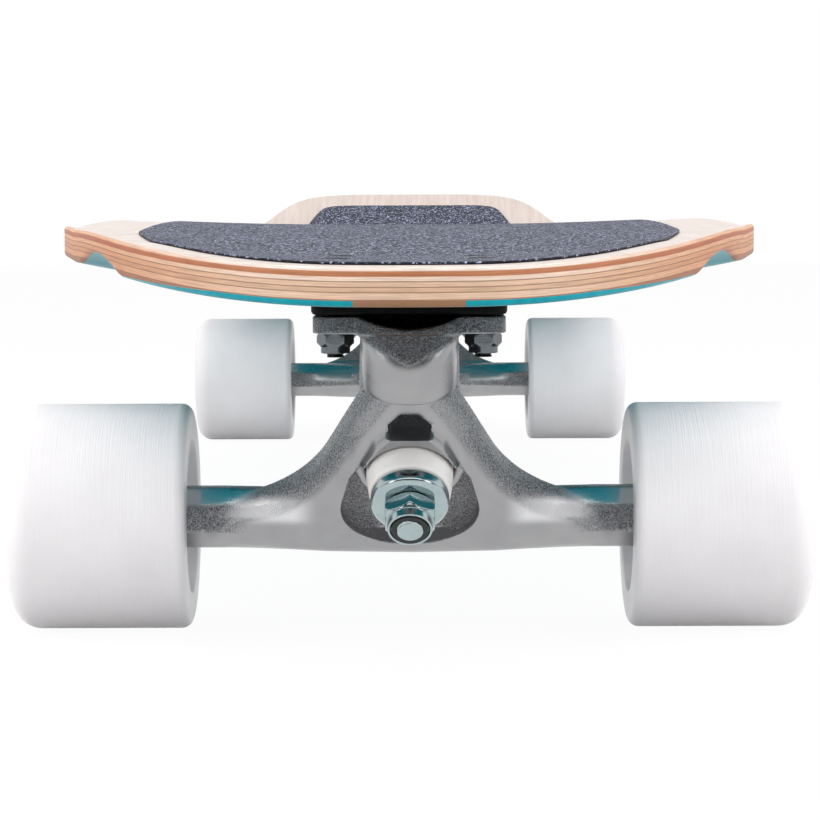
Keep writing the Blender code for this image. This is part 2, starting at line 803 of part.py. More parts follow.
def build_hanger(end, tilted, finish):
    """The cast hanger: arms, A frame with its pocket, the seat for the bushings and the pivot nose."""
    full = mirrored(frame_outline())
    yoke = prism([(frame_back, full), (face_chamfer - face_front, full),
                  (-face_front, drawn_in(full, face_chamfer))])
    hanger = solid(f"{end}_hanger", yoke, finish, tilted, 25)
    trim_yoke(hanger)
    lid = slab(rounded_rectangle(2 * ring_radius, -ring_radius, ring_radius, casting_chamfer), 0, trim_height)
    lid = tipped(moved(lid, (0, 0, -boss_drop - apex_gap)), boss_tilt - kingpin_tilt)
    cut(hanger, moved(lid, (0, 0, pivot_reach)))
    arm_end = hanger_half_width
    corner = arm_radius / math.cos(math.pi / arm_facets)
    half = [(corner, arm_end - casting_chamfer), (corner - casting_chamfer, arm_end), (0, arm_end)]
    beam = [(r, -place) for r, place in reversed(half)] + half
    upright = 0.5 - kingpin_tilt * arm_facets / (2 * math.pi)
    add(hanger, moved(turned(beam, arm_facets, "X", upright), (0, axle_rake, -axle_drop)))
    opening = mirrored(opening_outline())
    cut(hanger, prism([(-pocket_floor, opening), (-2 * ring_front, opening)]))
    ring = [(0, -ring_step), (ring_radius, -ring_step), (ring_radius, ring_back - casting_chamfer),
            (ring_radius - casting_chamfer, ring_back), (0, ring_back)]
    add(hanger, turned(ring, boss_facets, "Y"))
    arch = mirrored([(0, arch_seat_height), (arch_seat_reach, arch_seat_height),
                     (arch_foot_reach, arch_foot_height), (arch_top_half_width, arch_top), (0, arch_top)])
    add(hanger, prism([(-pocket_floor - overcut, arch), (-ring_front, arch)]))
    window = mirrored([(0, window_foot), (window_half_width, window_foot),
                       (window_top_half_width, window_top), (0, window_top)])
    cut(hanger, prism([(2 * frame_back, window), (-2 * frame_back, window)]))
    neck = [(0, neck_foot), (neck_radius, neck_foot), (neck_radius, neck_top),
            (nose_radius - nose_relief, neck_top + nose_relief),
            (nose_radius - nose_relief, pivot_reach - nose_radius / 2)]
    neck += [(nose_radius * math.cos(angle), pivot_reach + nose_radius * math.sin(angle))
             for angle in (0, *dome_angles)]
    add(hanger, turned(neck, neck_facets, "Z"))
    for way, reach in ((-1, ring_front), (1, ring_back)):
        cut(hanger, rod(bushing_radius + 2 * seat_gap, way * seat_web, way * 2 * reach, boss_facets, "Y"))
    cut(hanger, rod(kingpin_radius + kingpin_play, -2 * ring_front, 2 * ring_back, bore_facets, "Y"))
    bore = rod(axle_radius + seat_gap, -arm_end - overcut, arm_end + overcut, bore_facets, "X")
    cut(hanger, moved(bore, (0, axle_rake, -axle_drop)))


def build_axle(end, facing, tilted, finish):
    """The axle, with the pieces clamped on it: speed washers, inner races and spacers."""
    start = hanger_half_width + seat_gap
    inner, outer = wheel_centre - bearing_reach, wheel_centre + bearing_reach
    stop = outer + speed_washer
    tip = stop + 2 * seat_gap + axle_nut_height + axle_end
    right = [(axle_radius, start), (inner_race_radius, start), (inner_race_radius, inner + bearing_width),
             (spacer_radius, inner + bearing_width), (spacer_radius, outer - bearing_width),
             (inner_race_radius, outer - bearing_width), (inner_race_radius, stop), (axle_radius, stop),
             (axle_radius, tip - steel_chamfer), (axle_radius - steel_chamfer, tip), (0, tip)]
    profile = [(r, -place) for r, place in reversed(right)] + right
    axle = solid(f"{end}_axle", turned(profile, axle_facets, "X"), finish, tilted)
    axle.location = (0, axle_rake, -axle_drop)
    for side_name, side in (("left", -facing), ("right", facing)):
        near, far = side * (stop + seat_gap), side * (stop + seat_gap + axle_nut_height)
        shape = nut(axle_nut_across, near, far, axle_radius + hole_gap, "X")
        nut_piece = solid(f"{end}_{side_name}_axle_nut", shape, finish, tilted)
        nut_piece.location = axle.location


# Wheels

def build_wheel(end, side_name, side, upright, tyre_finish, core_finish, steel):
    """One wheel: urethane tyre, core and two bearings, all centred on the axle."""
    rim = wheel_radius / math.cos(math.pi / wheel_facets)
    half = wheel_width / 2
    bore = core_radius + seat_gap
    cheek = outer_corner * (1 - math.sqrt(0.5))
    tread = [(bore, -recess_floor), (hub_recess_radius, -half), (rim - inner_corner, -half),
             (rim, inner_corner - half), (rim, half - outer_corner), (rim - cheek, half - cheek),
             (rim - outer_corner, half), (hub_recess_radius, half), (bore, recess_floor)]
    hub = bearing_radius + hole_gap
    shell, wide, rest = hub + core_wall, core_width / 2, spacer_length / 2 - hole_gap
    core = [(hub, -wide), (shell, -wide), (core_radius, core_wall - wide), (core_radius, wide - core_wall),
            (shell, wide), (hub, wide), (hub, rest), (hub - bearing_stop, rest), (hub - bearing_stop, -rest),
            (hub, -rest)]
    near, far = spacer_length / 2, bearing_reach
    race = inner_race_radius + seat_gap
    bearing = [(race, near), (bearing_radius, near), (bearing_radius, far), (race, far)]
    pieces = [("tyre", side, tread, wheel_facets, tyre_finish),
              ("wheel_core", side, core, core_facets, core_finish),
              ("inner_bearing", -side, bearing, bearing_facets, steel),
              ("outer_bearing", side, bearing, bearing_facets, steel)]
    for name, way, profile, facets, finish in pieces:
        shape = turned([(r, way * place) for r, place in profile], facets, "X")
        piece = solid(f"{end}_{side_name}_{name}", shape, finish, upright)
        piece.location = (side * wheel_centre, 0, wheel_radius)


# Mounting bolts

def build_bolts(steel):
    """Countersunk bolts down through grip sheet, deck, riser and plate, each with a lock nut."""
    nut_top = plate_bottom - seat_gap
    nut_low = nut_top - mount_nut_height
    tail = nut_low - bolt_tail
    profile = [(0, tail), (bolt_radius - steel_chamfer, tail), (bolt_radius, tail + steel_chamfer),
               (bolt_radius, head_cone_low + steel_chamfer), (bolt_head_radius, head_top - steel_chamfer),
               (bolt_head_radius - steel_chamfer / 2, head_top), (0, head_top)]
    corner_names = ["outer_left", "outer_right", "inner_left", "inner_right"]
    names = [f"{end}_{corner}" for end in ("front", "rear") for corner in corner_names]
    for name, (x, y) in zip(names, bolt_places()):
        bolt = solid(f"{name}_bolt", turned(profile, small_facets, "Z"), steel)
        ring = nut(mount_nut_across, nut_top, nut_low, bolt_radius + hole_gap, "Z")
        lock = solid(f"{name}_nut", ring, steel)
        bolt.location = (x, y, 0)
        lock.location = (x, y, 0)


def build():
    for thing in list(bpy.data.objects):
        bpy.data.objects.remove(thing, do_unlink=True)
    maple = material("maple_laminate", (0.62, 0.38, 0.20), 0.45)
    grit = material("grip_sheet", (0.05, 0.055, 0.075), 0.9)
    alloy = material("cast_alloy", (0.55, 0.56, 0.57), 0.35, 1.0)
    zinc = material("zinc_steel", (0.62, 0.68, 0.70), 0.22, 1.0)
    rubber = material("black_riser", (0.01, 0.01, 0.01), 0.6)
    urethane = material("white_urethane", (0.85, 0.84, 0.86), 0.4)
    core_plastic = material("core_plastic", (0.75, 0.75, 0.76), 0.45)
    bushing_urethane = material("ivory_urethane", (0.86, 0.84, 0.82), 0.35)
    cup_plastic = material("cup_urethane", (0.05, 0.05, 0.05), 0.5)
    build_deck(maple)
    build_grip(grit)
    for end, axle_y, facing in (("front", front_axle_y, 1), ("rear", rear_axle_y, -1)):
        upright, tilted = frame_of_truck(end, axle_y, facing)
        build_riser(end, upright, rubber)
        build_baseplate(end, upright, alloy)
        build_pivot_cup(end, upright, cup_plastic)
        build_kingpin(end, tilted, zinc)
        build_bushings(end, tilted, bushing_urethane)
        build_washers(end, tilted, zinc)
        build_hanger(end, tilted, alloy)
        build_axle(end, facing, tilted, zinc)
        for side_name, side in (("left", -facing), ("right", facing)):
            build_wheel(end, side_name, side, upright, urethane, core_plastic, zinc)
    build_bolts(zinc)


build()
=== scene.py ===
"""Looks of a kicktail longboard on reverse kingpin trucks.

Metres, Z up, round nose at -Y, kicktail at +Y, axles along X, wheels standing on Z = 0.
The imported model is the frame: every piece here is made in its coordinates and rides on its bodies.
"""
import math

import bmesh
import bpy
import numpy as np
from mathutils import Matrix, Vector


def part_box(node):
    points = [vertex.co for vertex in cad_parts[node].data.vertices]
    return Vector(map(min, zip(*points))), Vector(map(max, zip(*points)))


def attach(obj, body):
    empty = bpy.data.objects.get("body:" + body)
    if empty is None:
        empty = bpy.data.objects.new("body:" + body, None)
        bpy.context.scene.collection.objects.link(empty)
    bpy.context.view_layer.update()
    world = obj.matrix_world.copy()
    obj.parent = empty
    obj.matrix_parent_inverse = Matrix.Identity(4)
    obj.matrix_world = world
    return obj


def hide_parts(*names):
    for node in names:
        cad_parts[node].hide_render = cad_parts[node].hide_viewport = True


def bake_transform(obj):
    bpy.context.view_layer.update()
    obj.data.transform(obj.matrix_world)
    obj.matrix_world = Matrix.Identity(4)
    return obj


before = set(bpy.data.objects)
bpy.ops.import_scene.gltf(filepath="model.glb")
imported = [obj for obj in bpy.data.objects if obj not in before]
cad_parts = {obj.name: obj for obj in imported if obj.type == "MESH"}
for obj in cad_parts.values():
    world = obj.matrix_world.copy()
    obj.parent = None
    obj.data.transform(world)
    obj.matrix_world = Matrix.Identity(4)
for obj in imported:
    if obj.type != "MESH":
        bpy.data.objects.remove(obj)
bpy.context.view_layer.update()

# Studio: a white sweep of floor and sky, and a camera low in front of the nose. A wide soft lamp hangs
# overhead and a strip stands in front. On each side a small lamp draws the highlights on the near truck,
# and another lifts the far one. What shines sees a dim sky in front, where the room would be.
mm = 0.001
picture_px = 820
focal_px = 2640
camera_place = (0.0003, -1.1151, 0.1179)
camera_pitch = math.radians(4.12)
camera_roll = math.radians(0.2)
sky_for_surfaces = 0.67
sky_in_front = 0.05
floor_grey = 0.6
floor_reach = 6.0
floor_drop = 0.5 * mm
floor_glow = 1.05
floor_shade_share = 0.1
near_truck = (0, -0.38, 0.06)
far_truck = (0, 0.37, 0.06)
sides = (("left", -1), ("right", 1))


def feed(target, values):
    """Puts numbers, colours or other nodes' sockets on a shader node's inputs."""
    for key, value in values.items():
        if isinstance(value, bpy.types.NodeSocket):
            target.id_data.links.new(value, target.inputs[key])
        else:
            target.inputs[key].default_value = value


def node(tree, kind, values=None, **settings):
    """A shader node with its settings and with what feeds its inputs."""
    made = tree.nodes.new(kind)
    for key, value in settings.items():
        setattr(made, key, value)
    feed(made, values or {})
    return made


def ranged(tree, value, low, high, start=0.0, stop=1.0, **settings):
    """A value stretched so that start becomes low and stop becomes high, and held at those ends."""
    values = {"Value": value, "From Min": start, "From Max": stop, "To Min": low, "To Max": high}
    return node(tree, "ShaderNodeMapRange", values, **settings).outputs[0]


def worked(tree, operation, *values, **settings):
    """The result of one sum or comparison of sockets and numbers."""
    return node(tree, "ShaderNodeMath", dict(enumerate(values)), operation=operation, **settings).outputs[0]


def mixed(tree, share, first, second, kind="RGBA", **settings):
    """Two colours or numbers mixed: the first where the share is 0, the second where it is 1."""
    values = {"Factor": share, "A": first, "B": second}
    return node(tree, "ShaderNodeMix", values, data_type=kind, **settings).outputs["Result"]


def build_sky():
    """White to the camera, an even level to matt surfaces, and a dim front for what shines.

    In reflections the sky is full behind and overhead, and smooth steps of the direction fade it in front.
    """
    world = bpy.data.worlds.new("sky")
    bpy.context.scene.world = world
    world.use_nodes = True
    tree = world.node_tree
    tree.nodes.clear()
    direction = node(tree, "ShaderNodeTexCoord").outputs["Generated"]
    toward = node(tree, "ShaderNodeSeparateXYZ", {0: direction}).outputs
    behind = ranged(tree, toward["Y"], 0, 1, -0.62, -0.1, interpolation_type="SMOOTHSTEP")
    above = ranged(tree, toward["Z"], 0, 1, 0.55, 0.75, interpolation_type="SMOOTHSTEP")
    reflected = ranged(tree, worked(tree, "MAXIMUM", behind, above), sky_in_front, 1.0)
    path = node(tree, "ShaderNodeLightPath").outputs
    level = mixed(tree, path["Is Glossy Ray"], sky_for_surfaces, reflected, "FLOAT")
    level = mixed(tree, path["Is Camera Ray"], level, 1.0, "FLOAT")
    light = node(tree, "ShaderNodeBackground", {"Color": (1, 1, 1, 1), "Strength": level})
    node(tree, "ShaderNodeOutputWorld", {"Surface": light.outputs[0]})


def build_floor():
    """A wide floor that stays white to the camera and to reflections, and darkens a little in shadow."""
    mesh = bpy.data.meshes.new("floor")
    corners = [(x * floor_reach, y * floor_reach, 0) for x, y in ((-1, -1), (1, -1), (1, 1), (-1, 1))]
    mesh.from_pydata(corners, [], [(0, 1, 2, 3)])
    finish = bpy.data.materials.new("floor_white")
    finish.use_nodes = True
    tree = finish.node_tree
    tree.nodes.clear()
    matt = node(tree, "ShaderNodeBsdfDiffuse", {"Color": (floor_grey, floor_grey, floor_grey, 1)}).outputs[0]
    glow = node(tree, "ShaderNodeEmission", {"Strength": floor_glow}).outputs[0]
    pale = node(tree, "ShaderNodeMixShader", {0: floor_shade_share, 1: glow, 2: matt}).outputs[0]
    path = node(tree, "ShaderNodeLightPath").outputs
    seen = worked(tree, "ADD", path["Is Camera Ray"], path["Is Glossy Ray"])
    seen = worked(tree, "ADD", seen, path["Is Transmission Ray"], use_clamp=True)
    shown = node(tree, "ShaderNodeMixShader", {0: seen, 1: matt, 2: pale}).outputs[0]
    node(tree, "ShaderNodeOutputMaterial", {"Surface": shown})
    mesh.materials.append(finish)
    floor = bpy.data.objects.new("floor", mesh)
    bpy.context.scene.collection.objects.link(floor)
    floor.location.z = -floor_drop


def soft_lamp(name, place, aim, width, height, watts, shines=True):
    """A rectangular soft lamp that faces a point, seen in polished metal or not."""
    lamp = bpy.data.lights.new(name, "AREA")
    lamp.shape = "RECTANGLE"
    lamp.size = width
    lamp.size_y = height
    lamp.energy = watts
    holder = bpy.data.objects.new(name, lamp)
    bpy.context.scene.collection.objects.link(holder)
    holder.location = place
    holder.visible_glossy = shines
    away = np.array(place) - np.array(aim)
    flat = math.hypot(away[0], away[1])
    holder.rotation_euler = (math.atan2(flat, away[2]), 0, math.atan2(away[0], -away[1]))


def build_camera():
    """The photograph's viewpoint: a long lens just above the deck's level, looking slightly down."""
    lens = bpy.data.cameras.new("camera")
    lens.sensor_fit = "HORIZONTAL"
    lens.sensor_width = 36
    lens.lens = lens.sensor_width * focal_px / picture_px
    lens.clip_start = 0.01
    camera = bpy.data.objects.new("camera", lens)
    bpy.context.scene.collection.objects.link(camera)
    camera.location = camera_place
    camera.rotation_euler = (math.pi / 2 - camera_pitch, camera_roll, 0)
    bpy.context.scene.camera = camera


bpy.context.scene.view_settings.view_transform = "Standard"
build_sky()
build_floor()
build_camera()
soft_lamp("overhead_lamp", (0, -0.1, 1.3), (0, 0, 0.1), 1.4, 1.6, watts=8.8)
for hand, side in sides:
    soft_lamp(f"{hand}_front_lamp", (0.71 * side, -1.09, 0.28), near_truck, 0.3, 0.3, watts=1.0)
    soft_lamp(f"{hand}_rear_lamp", (0.8 * side, -0.3, 0.3), far_truck, 0.5, 0.5, watts=3.4, shines=False)
soft_lamp("front_strip", (0, -1.35, 0.55), near_truck, 1.3, 0.3, watts=2.6)

# Deck: seven maple veneers pressed into a camber, a concave and a kicktail, sawn to shape with the
# edges eased. The top is bare, the second veneer is dyed orange, and the underside is stained teal
# but for a bare strip along the middle. Scoops over the wheels keep them from rubbing.
ends = ("front", "rear")
solid_gap = 0.3 * mm
deck_low, deck_high = (np.array(corner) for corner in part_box("deck"))
cores = [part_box(f"{end}_left_wheel_core") for end in ends]
front_axle_y, rear_axle_y = (float(low[1] + high[1]) / 2 for low, high in cores)
deck_bottom = float(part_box("front_riser_pad")[1][2]) + solid_gap
deck_thickness = 10 * mm
deck_half_width = float(deck_high[0])
nose_tip_y, tail_end_y = float(deck_low[1]), float(deck_high[1])
edge_radius = 1.3 * mm
nose_taper = 330 * mm
tail_half_width = 79 * mm
tail_taper = 270 * mm
tail_taper_end = 90 * mm
tail_corner = 59 * mm
corner_power = 4.6
grip_corner_power = 9.0
tail_root_swell = 0.1
tail_end_taper = 0.22
tail_flare = 80 * mm
camber_rise = 8.8 * mm
truck_flat = 45 * mm
concave_flat = 15 * mm
concave_at_trucks = 15.7 * mm
concave_in_middle = 3 * mm
concave_fade = 220 * mm
concave_lead = 19 * mm
kick_angle = math.radians(17)
kick_bend_radius = 110 * mm
kick_setback = 56 * mm
well_radius = 104 * mm
well_depth = 4.5 * mm
well_inner_edge = 60 * mm
well_reach = 42 * mm
well_rim = 0.8 * mm
bare_strip = 14 * mm
glue_line = (142, 98, 70)
# Ply colours from underneath to the top. The top veneer's band, from 0.905, is painted near white, far paler
# than the same veneer on top: a painted highlight on the eased top edge.
ply_bands_and_edge_highlight = [(0.0, (176, 132, 104)), (0.160, (186, 142, 114)), (0.175, glue_line),
             (0.200, (238, 204, 176)), (0.345, (242, 208, 182)), (0.365, glue_line),
             (0.385, (226, 190, 158)), (0.475, (230, 192, 162)), (0.495, glue_line),
             (0.515, (240, 204, 176)), (0.615, (236, 200, 168)), (0.635, glue_line),
             (0.655, (250, 226, 206)), (0.745, (253, 226, 206)), (0.765, (190, 118, 74)),
             (0.885, (206, 136, 92)), (0.905, (255, 240, 228)), (1.0, (255, 244, 236))]


def srgb(red, green, blue):
    """A colour from its 0 to 255 values, in the linear numbers that shaders take."""
    parts = np.array([red, green, blue]) / 255
    linear = np.where(parts > 0.04045, ((parts + 0.055) / 1.055) ** 2.4, parts / 12.92)
    return (*[float(part) for part in linear], 1.0)


def smooth(share):
    """Smooth step from 0 to 1, three times the square less twice the cube."""
    share = np.clip(share, 0, 1)
    return share * share * (3 - 2 * share)


def camber(y):
    """Half a sine wave between the two trucks."""
    start, end = front_axle_y + truck_flat, rear_axle_y - truck_flat
    return camber_rise * np.sin(math.pi * np.clip((y - start) / (end - start), 0, 1))


def kick_rise(y):
    """A circle's arc up to the kick angle, then its tangent."""
    past = y - rear_axle_y - kick_setback
    bend = kick_bend_radius * math.sin(kick_angle)
    arc = kick_bend_radius - np.sqrt(kick_bend_radius**2 - np.clip(past, 0, bend) ** 2)
    return arc + np.clip(past - bend, 0, None) * math.tan(kick_angle)


def kick_slope(y):
    """Tangent of the kicktail's angle at y."""
    past = np.clip(y - rear_axle_y - kick_setback, 0, kick_bend_radius * math.sin(kick_angle))
    return past / np.sqrt(kick_bend_radius**2 - past**2)


def concave(x, y):
    """A parabola from the flat middle to the edge, deepest at the trucks."""
    inboard = np.minimum(y - front_axle_y, rear_axle_y - y) + concave_lead
    depth = concave_at_trucks + (concave_in_middle - concave_at_trucks) * smooth(inboard / concave_fade)
    depth = depth * (1 - smooth((y - rear_axle_y - kick_setback) / tail_corner))
    return depth * (np.clip(np.abs(x) - concave_flat, 0, None) / (deck_half_width - concave_flat)) ** 2


def deck_under(x, y):
    """Height of the underside before the wheel scoops are cut."""
    return deck_bottom + camber(y) + concave(x, y) + kick_rise(y)


def deck_over(x, y):
    """Height of the top: the underside and the thickness measured square to the kick."""
    return deck_under(x, y) + deck_thickness * np.sqrt(1 + kick_slope(y) ** 2)


def half_width(y, border=0.0):
    """Half width: a quarter ellipse at the nose, a smooth waist to the tail and superelliptic corners."""
    centre = nose_tip_y + nose_taper
    share = np.clip((centre - y) / (nose_taper - border), 0, 1)
    nose = (deck_half_width - border) * np.sqrt(1 - share**2)
    narrow = smooth((y - rear_axle_y - tail_taper_end + tail_taper) / tail_taper)
    width = deck_half_width - border - (deck_half_width - tail_half_width) * narrow
    near_end = smooth((y - tail_end_y + tail_flare) / tail_flare)
    width = width * (1 + tail_root_swell * narrow - tail_end_taper * near_end)
    corner = np.clip((y - tail_end_y + tail_corner) / (tail_corner - border), 0, 1)
    power = grip_corner_power if border > 0 else corner_power
    tail = width * np.clip(1 - corner**power, 0, 1) ** (1 / power)
    return np.where(y < centre, nose, tail)


def well_height(x, y, axle_y):
    """Roof of the scoops over one axle: an arc along the board whose radius grows towards the edge."""
    edge = float(half_width(np.array(axle_y)))
    centre = float(deck_under(edge, np.array(axle_y))) + well_depth - well_radius
    start = float(deck_under(well_inner_edge, np.array(axle_y))) - centre
    middle = 0.4 * start + 0.6 * well_radius
    places = [well_inner_edge - 6 * mm, well_inner_edge, 0.5 * (well_inner_edge + edge), edge, 140 * mm]
    reach = np.interp(np.abs(x), places, [start - 2 * mm, start, middle, well_radius, well_radius + mm])
    return centre + np.sqrt(np.clip(reach**2 - (y - axle_y) ** 2, 0, None))


def soft_max(a, b, ease):
    """The larger of two heights with the corner between them rounded over a distance.

    The heights are mixed by their difference over that distance, and a parabola fills the corner.
    """
    near = np.clip(0.5 + 0.5 * (a - b) / ease, 0, 1)
    return b + (a - b) * near + ease * near * (1 - near)


def deck_stations(border):
    """Places along the board: dense round the nose, at the scoops and in the tail's corners."""
    centre = nose_tip_y + nose_taper
    turn = np.linspace(0, math.pi / 2, 110)
    nose = centre - (nose_taper - border) * np.cos(turn)
    tip = tail_end_y - tail_corner
    power = grip_corner_power if border > 0 else corner_power
    corner = tip + (tail_corner - border) * np.sin(np.linspace(0, math.pi / 2, 40)) ** (2 / power)
    axles = (front_axle_y, rear_axle_y)
    scoops = [np.linspace(axle_y - well_reach, axle_y + well_reach, 64) for axle_y in axles]
    middle = np.linspace(centre, tip, 90)
    stations = np.sort(np.concatenate([nose, middle, corner, *scoops]))
    stations = stations[(stations >= nose[0]) & (stations <= corner[-1])]
    return stations[np.concatenate([[True], np.diff(stations) > 2e-5])]


def mesh_piece(name, vertices, faces, finish, body, stands_for=None, sharp_degrees=35, attributes=None):
    """An object from arrays of points and faces, with doubles merged, faces outwards and smooth shading.

    It rides on a body, takes its finish from a slot, and may stand for a solid. Edges that are sharper
    than the angle stay sharp. Attributes hold a number for each point, for the finish to read.
    """
    mesh = bpy.data.meshes.new(name)
    mesh.from_pydata(np.asarray(vertices, dtype=float).tolist(), [], np.asarray(faces).tolist())
    for key, values in (attributes or {}).items():
        numbers = np.asarray(values, dtype=np.float32).ravel()
        mesh.attributes.new(key, "FLOAT", "POINT").data.foreach_set("value", numbers)
    shell = bmesh.new()
    shell.from_mesh(mesh)
    bmesh.ops.remove_doubles(shell, verts=shell.verts, dist=2e-6)
    bmesh.ops.dissolve_degenerate(shell, dist=1e-7, edges=shell.edges)
    bmesh.ops.recalc_face_normals(shell, faces=shell.faces)
    shell.to_mesh(mesh)
    shell.free()
    mesh.shade_smooth()
    mesh.set_sharp_from_angle(angle=math.radians(sharp_degrees))
    mesh.materials.append(finish)
    piece = bpy.data.objects.new(name, mesh)
    bpy.context.scene.collection.objects.link(piece)
    if stands_for:
        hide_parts(stands_for)
    if body:
        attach(piece, body)
    return piece


def grid_piece(name, points, finish, body, stands_for=None, sharp_degrees=35, attributes=None):
    """A piece from a grid of points, with four-sided faces, that closes round its columns.

    Its attributes hold a number for each row or for each point.
    """
    rows, columns = points.shape[:2]
    a, b = np.meshgrid(np.arange(rows - 1), np.arange(columns), indexing="ij")
    here, beside = a * columns + b, a * columns + (b + 1) % columns
    faces = np.stack([here, here + columns, beside + columns, beside], axis=-1).reshape(-1, 4)
    spread = {key: np.broadcast_to(np.reshape(values, (rows, -1)), (rows, columns))
              for key, values in (attributes or {}).items()}
    return mesh_piece(name, points.reshape(-1, 3), faces, finish, body, stands_for, sharp_degrees, spread)


def board_sections(y, border, over, under, ease, columns, edge_rows):
    """Closed cross-sections of a sheet that follows the deck, with rounded edges, and the kind of each point.

    Each runs over the top from left to right, down the edge and back underneath. Points next to the edge
    are drawn in along the outline's own normal, so the rounding keeps its radius round the nose and tail.
    The kind is 1 on top, 2 at the edge and 0 underneath.
    """
    step = 0.1 * mm
    width = half_width(y, border)
    ahead, behind = np.minimum(y + step, y[-1]), np.maximum(y - step, y[0])
    slope = np.clip((half_width(ahead, border) - half_width(behind, border)) / (2 * step), -1e4, 1e4)
    out_x = 1 / np.sqrt(1 + slope**2)
    out_y = -slope * out_x
    out_x = np.where(width < 1e-6, 0, out_x)
    out_y = np.where(width < 1e-6, np.sign(y), out_y)
    arc = 5
    turn = np.linspace(0, math.pi / 2, arc)
    inset = np.concatenate([1 - np.sin(turn), np.zeros(edge_rows), 1 - np.sin(turn[::-1])]) * ease
    edge_x = np.clip(width[:, None] - inset * out_x[:, None], 0, None)
    edge_y = y[:, None] - inset * out_y[:, None]
    top = over(edge_x[:, :arc], edge_y[:, :arc]) - ease * (1 - np.cos(turn))
    bottom = under(edge_x[:, -arc:], edge_y[:, -arc:]) + ease * (1 - np.cos(turn[::-1]))
    share = np.linspace(0, 1, edge_rows + 2)[1:-1]
    side = top[:, -1:] + (bottom[:, :1] - top[:, -1:]) * share
    edge_z = np.hstack([top, side, bottom])
    across = np.sin(np.linspace(-math.pi / 2, math.pi / 2, columns))[1:-1]
    flat_x = edge_x[:, :1] * across
    flat_y = np.repeat(edge_y[:, :1], columns - 2, axis=1)
    over_z, under_z = over(flat_x, flat_y), under(flat_x, flat_y)
    x = np.hstack([flat_x, edge_x, -flat_x, -edge_x[:, ::-1]])
    places_y = np.hstack([flat_y, edge_y, flat_y, edge_y[:, ::-1]])
    z = np.hstack([over_z, edge_z, under_z, edge_z[:, ::-1]])
    kind = np.repeat([1, 2, 0, 2], [columns - 2, edge_x.shape[1]] * 2)
    return np.stack([x, places_y, z], axis=-1), kind


def deck_underside(x, y):
    """The underside with the scoops of both axles, whose rims are eased."""
    height = deck_under(x, y)
    for axle_y in (front_axle_y, rear_axle_y):
        roof = well_height(x, y, axle_y)
        roof = np.where(np.abs(x) < well_inner_edge - 5 * mm, -1.0, roof)
        height = soft_max(roof, height, well_rim)
    return height


def new_finish(name):
    """A material, with its node tree, its shader and the coordinates of the object."""
    finish = bpy.data.materials.new(name)
    finish.use_nodes = True
    tree = finish.node_tree
    return finish, tree, tree.nodes["Principled BSDF"], node(tree, "ShaderNodeTexCoord").outputs["Object"]


def carried(tree, name):
    """A number that the mesh carries at each point."""
    return node(tree, "ShaderNodeAttribute", attribute_name=name).outputs["Fac"]


def stretched(tree, vector, scale):
    """Coordinates scaled along each axis, so that a pattern of size 1 is 1 over the scale long."""
    return node(tree, "ShaderNodeMapping", {"Vector": vector, "Scale": scale}).outputs[0]


def bumped(tree, height, strength, distance):
    """The surface's normal tilted by a height, at a depth in metres."""
    values = {"Height": height, "Strength": strength, "Distance": distance}
    return node(tree, "ShaderNodeBump", values).outputs[0]


def ramped(tree, value, stops):
    """A colour that runs in straight lines through stops of a value and a 0 to 255 colour."""
    made = node(tree, "ShaderNodeValToRGB", {"Fac": value})
    ramp = made.color_ramp.elements
    for element, (position, _) in zip(ramp, (stops[0], stops[-1])):
        element.position = position
    for position, _ in stops[1:-1]:
        ramp.new(position)
    for element, (_, colour) in zip(ramp, stops):
        element.color = srgb(*colour)
    return made.outputs[0]


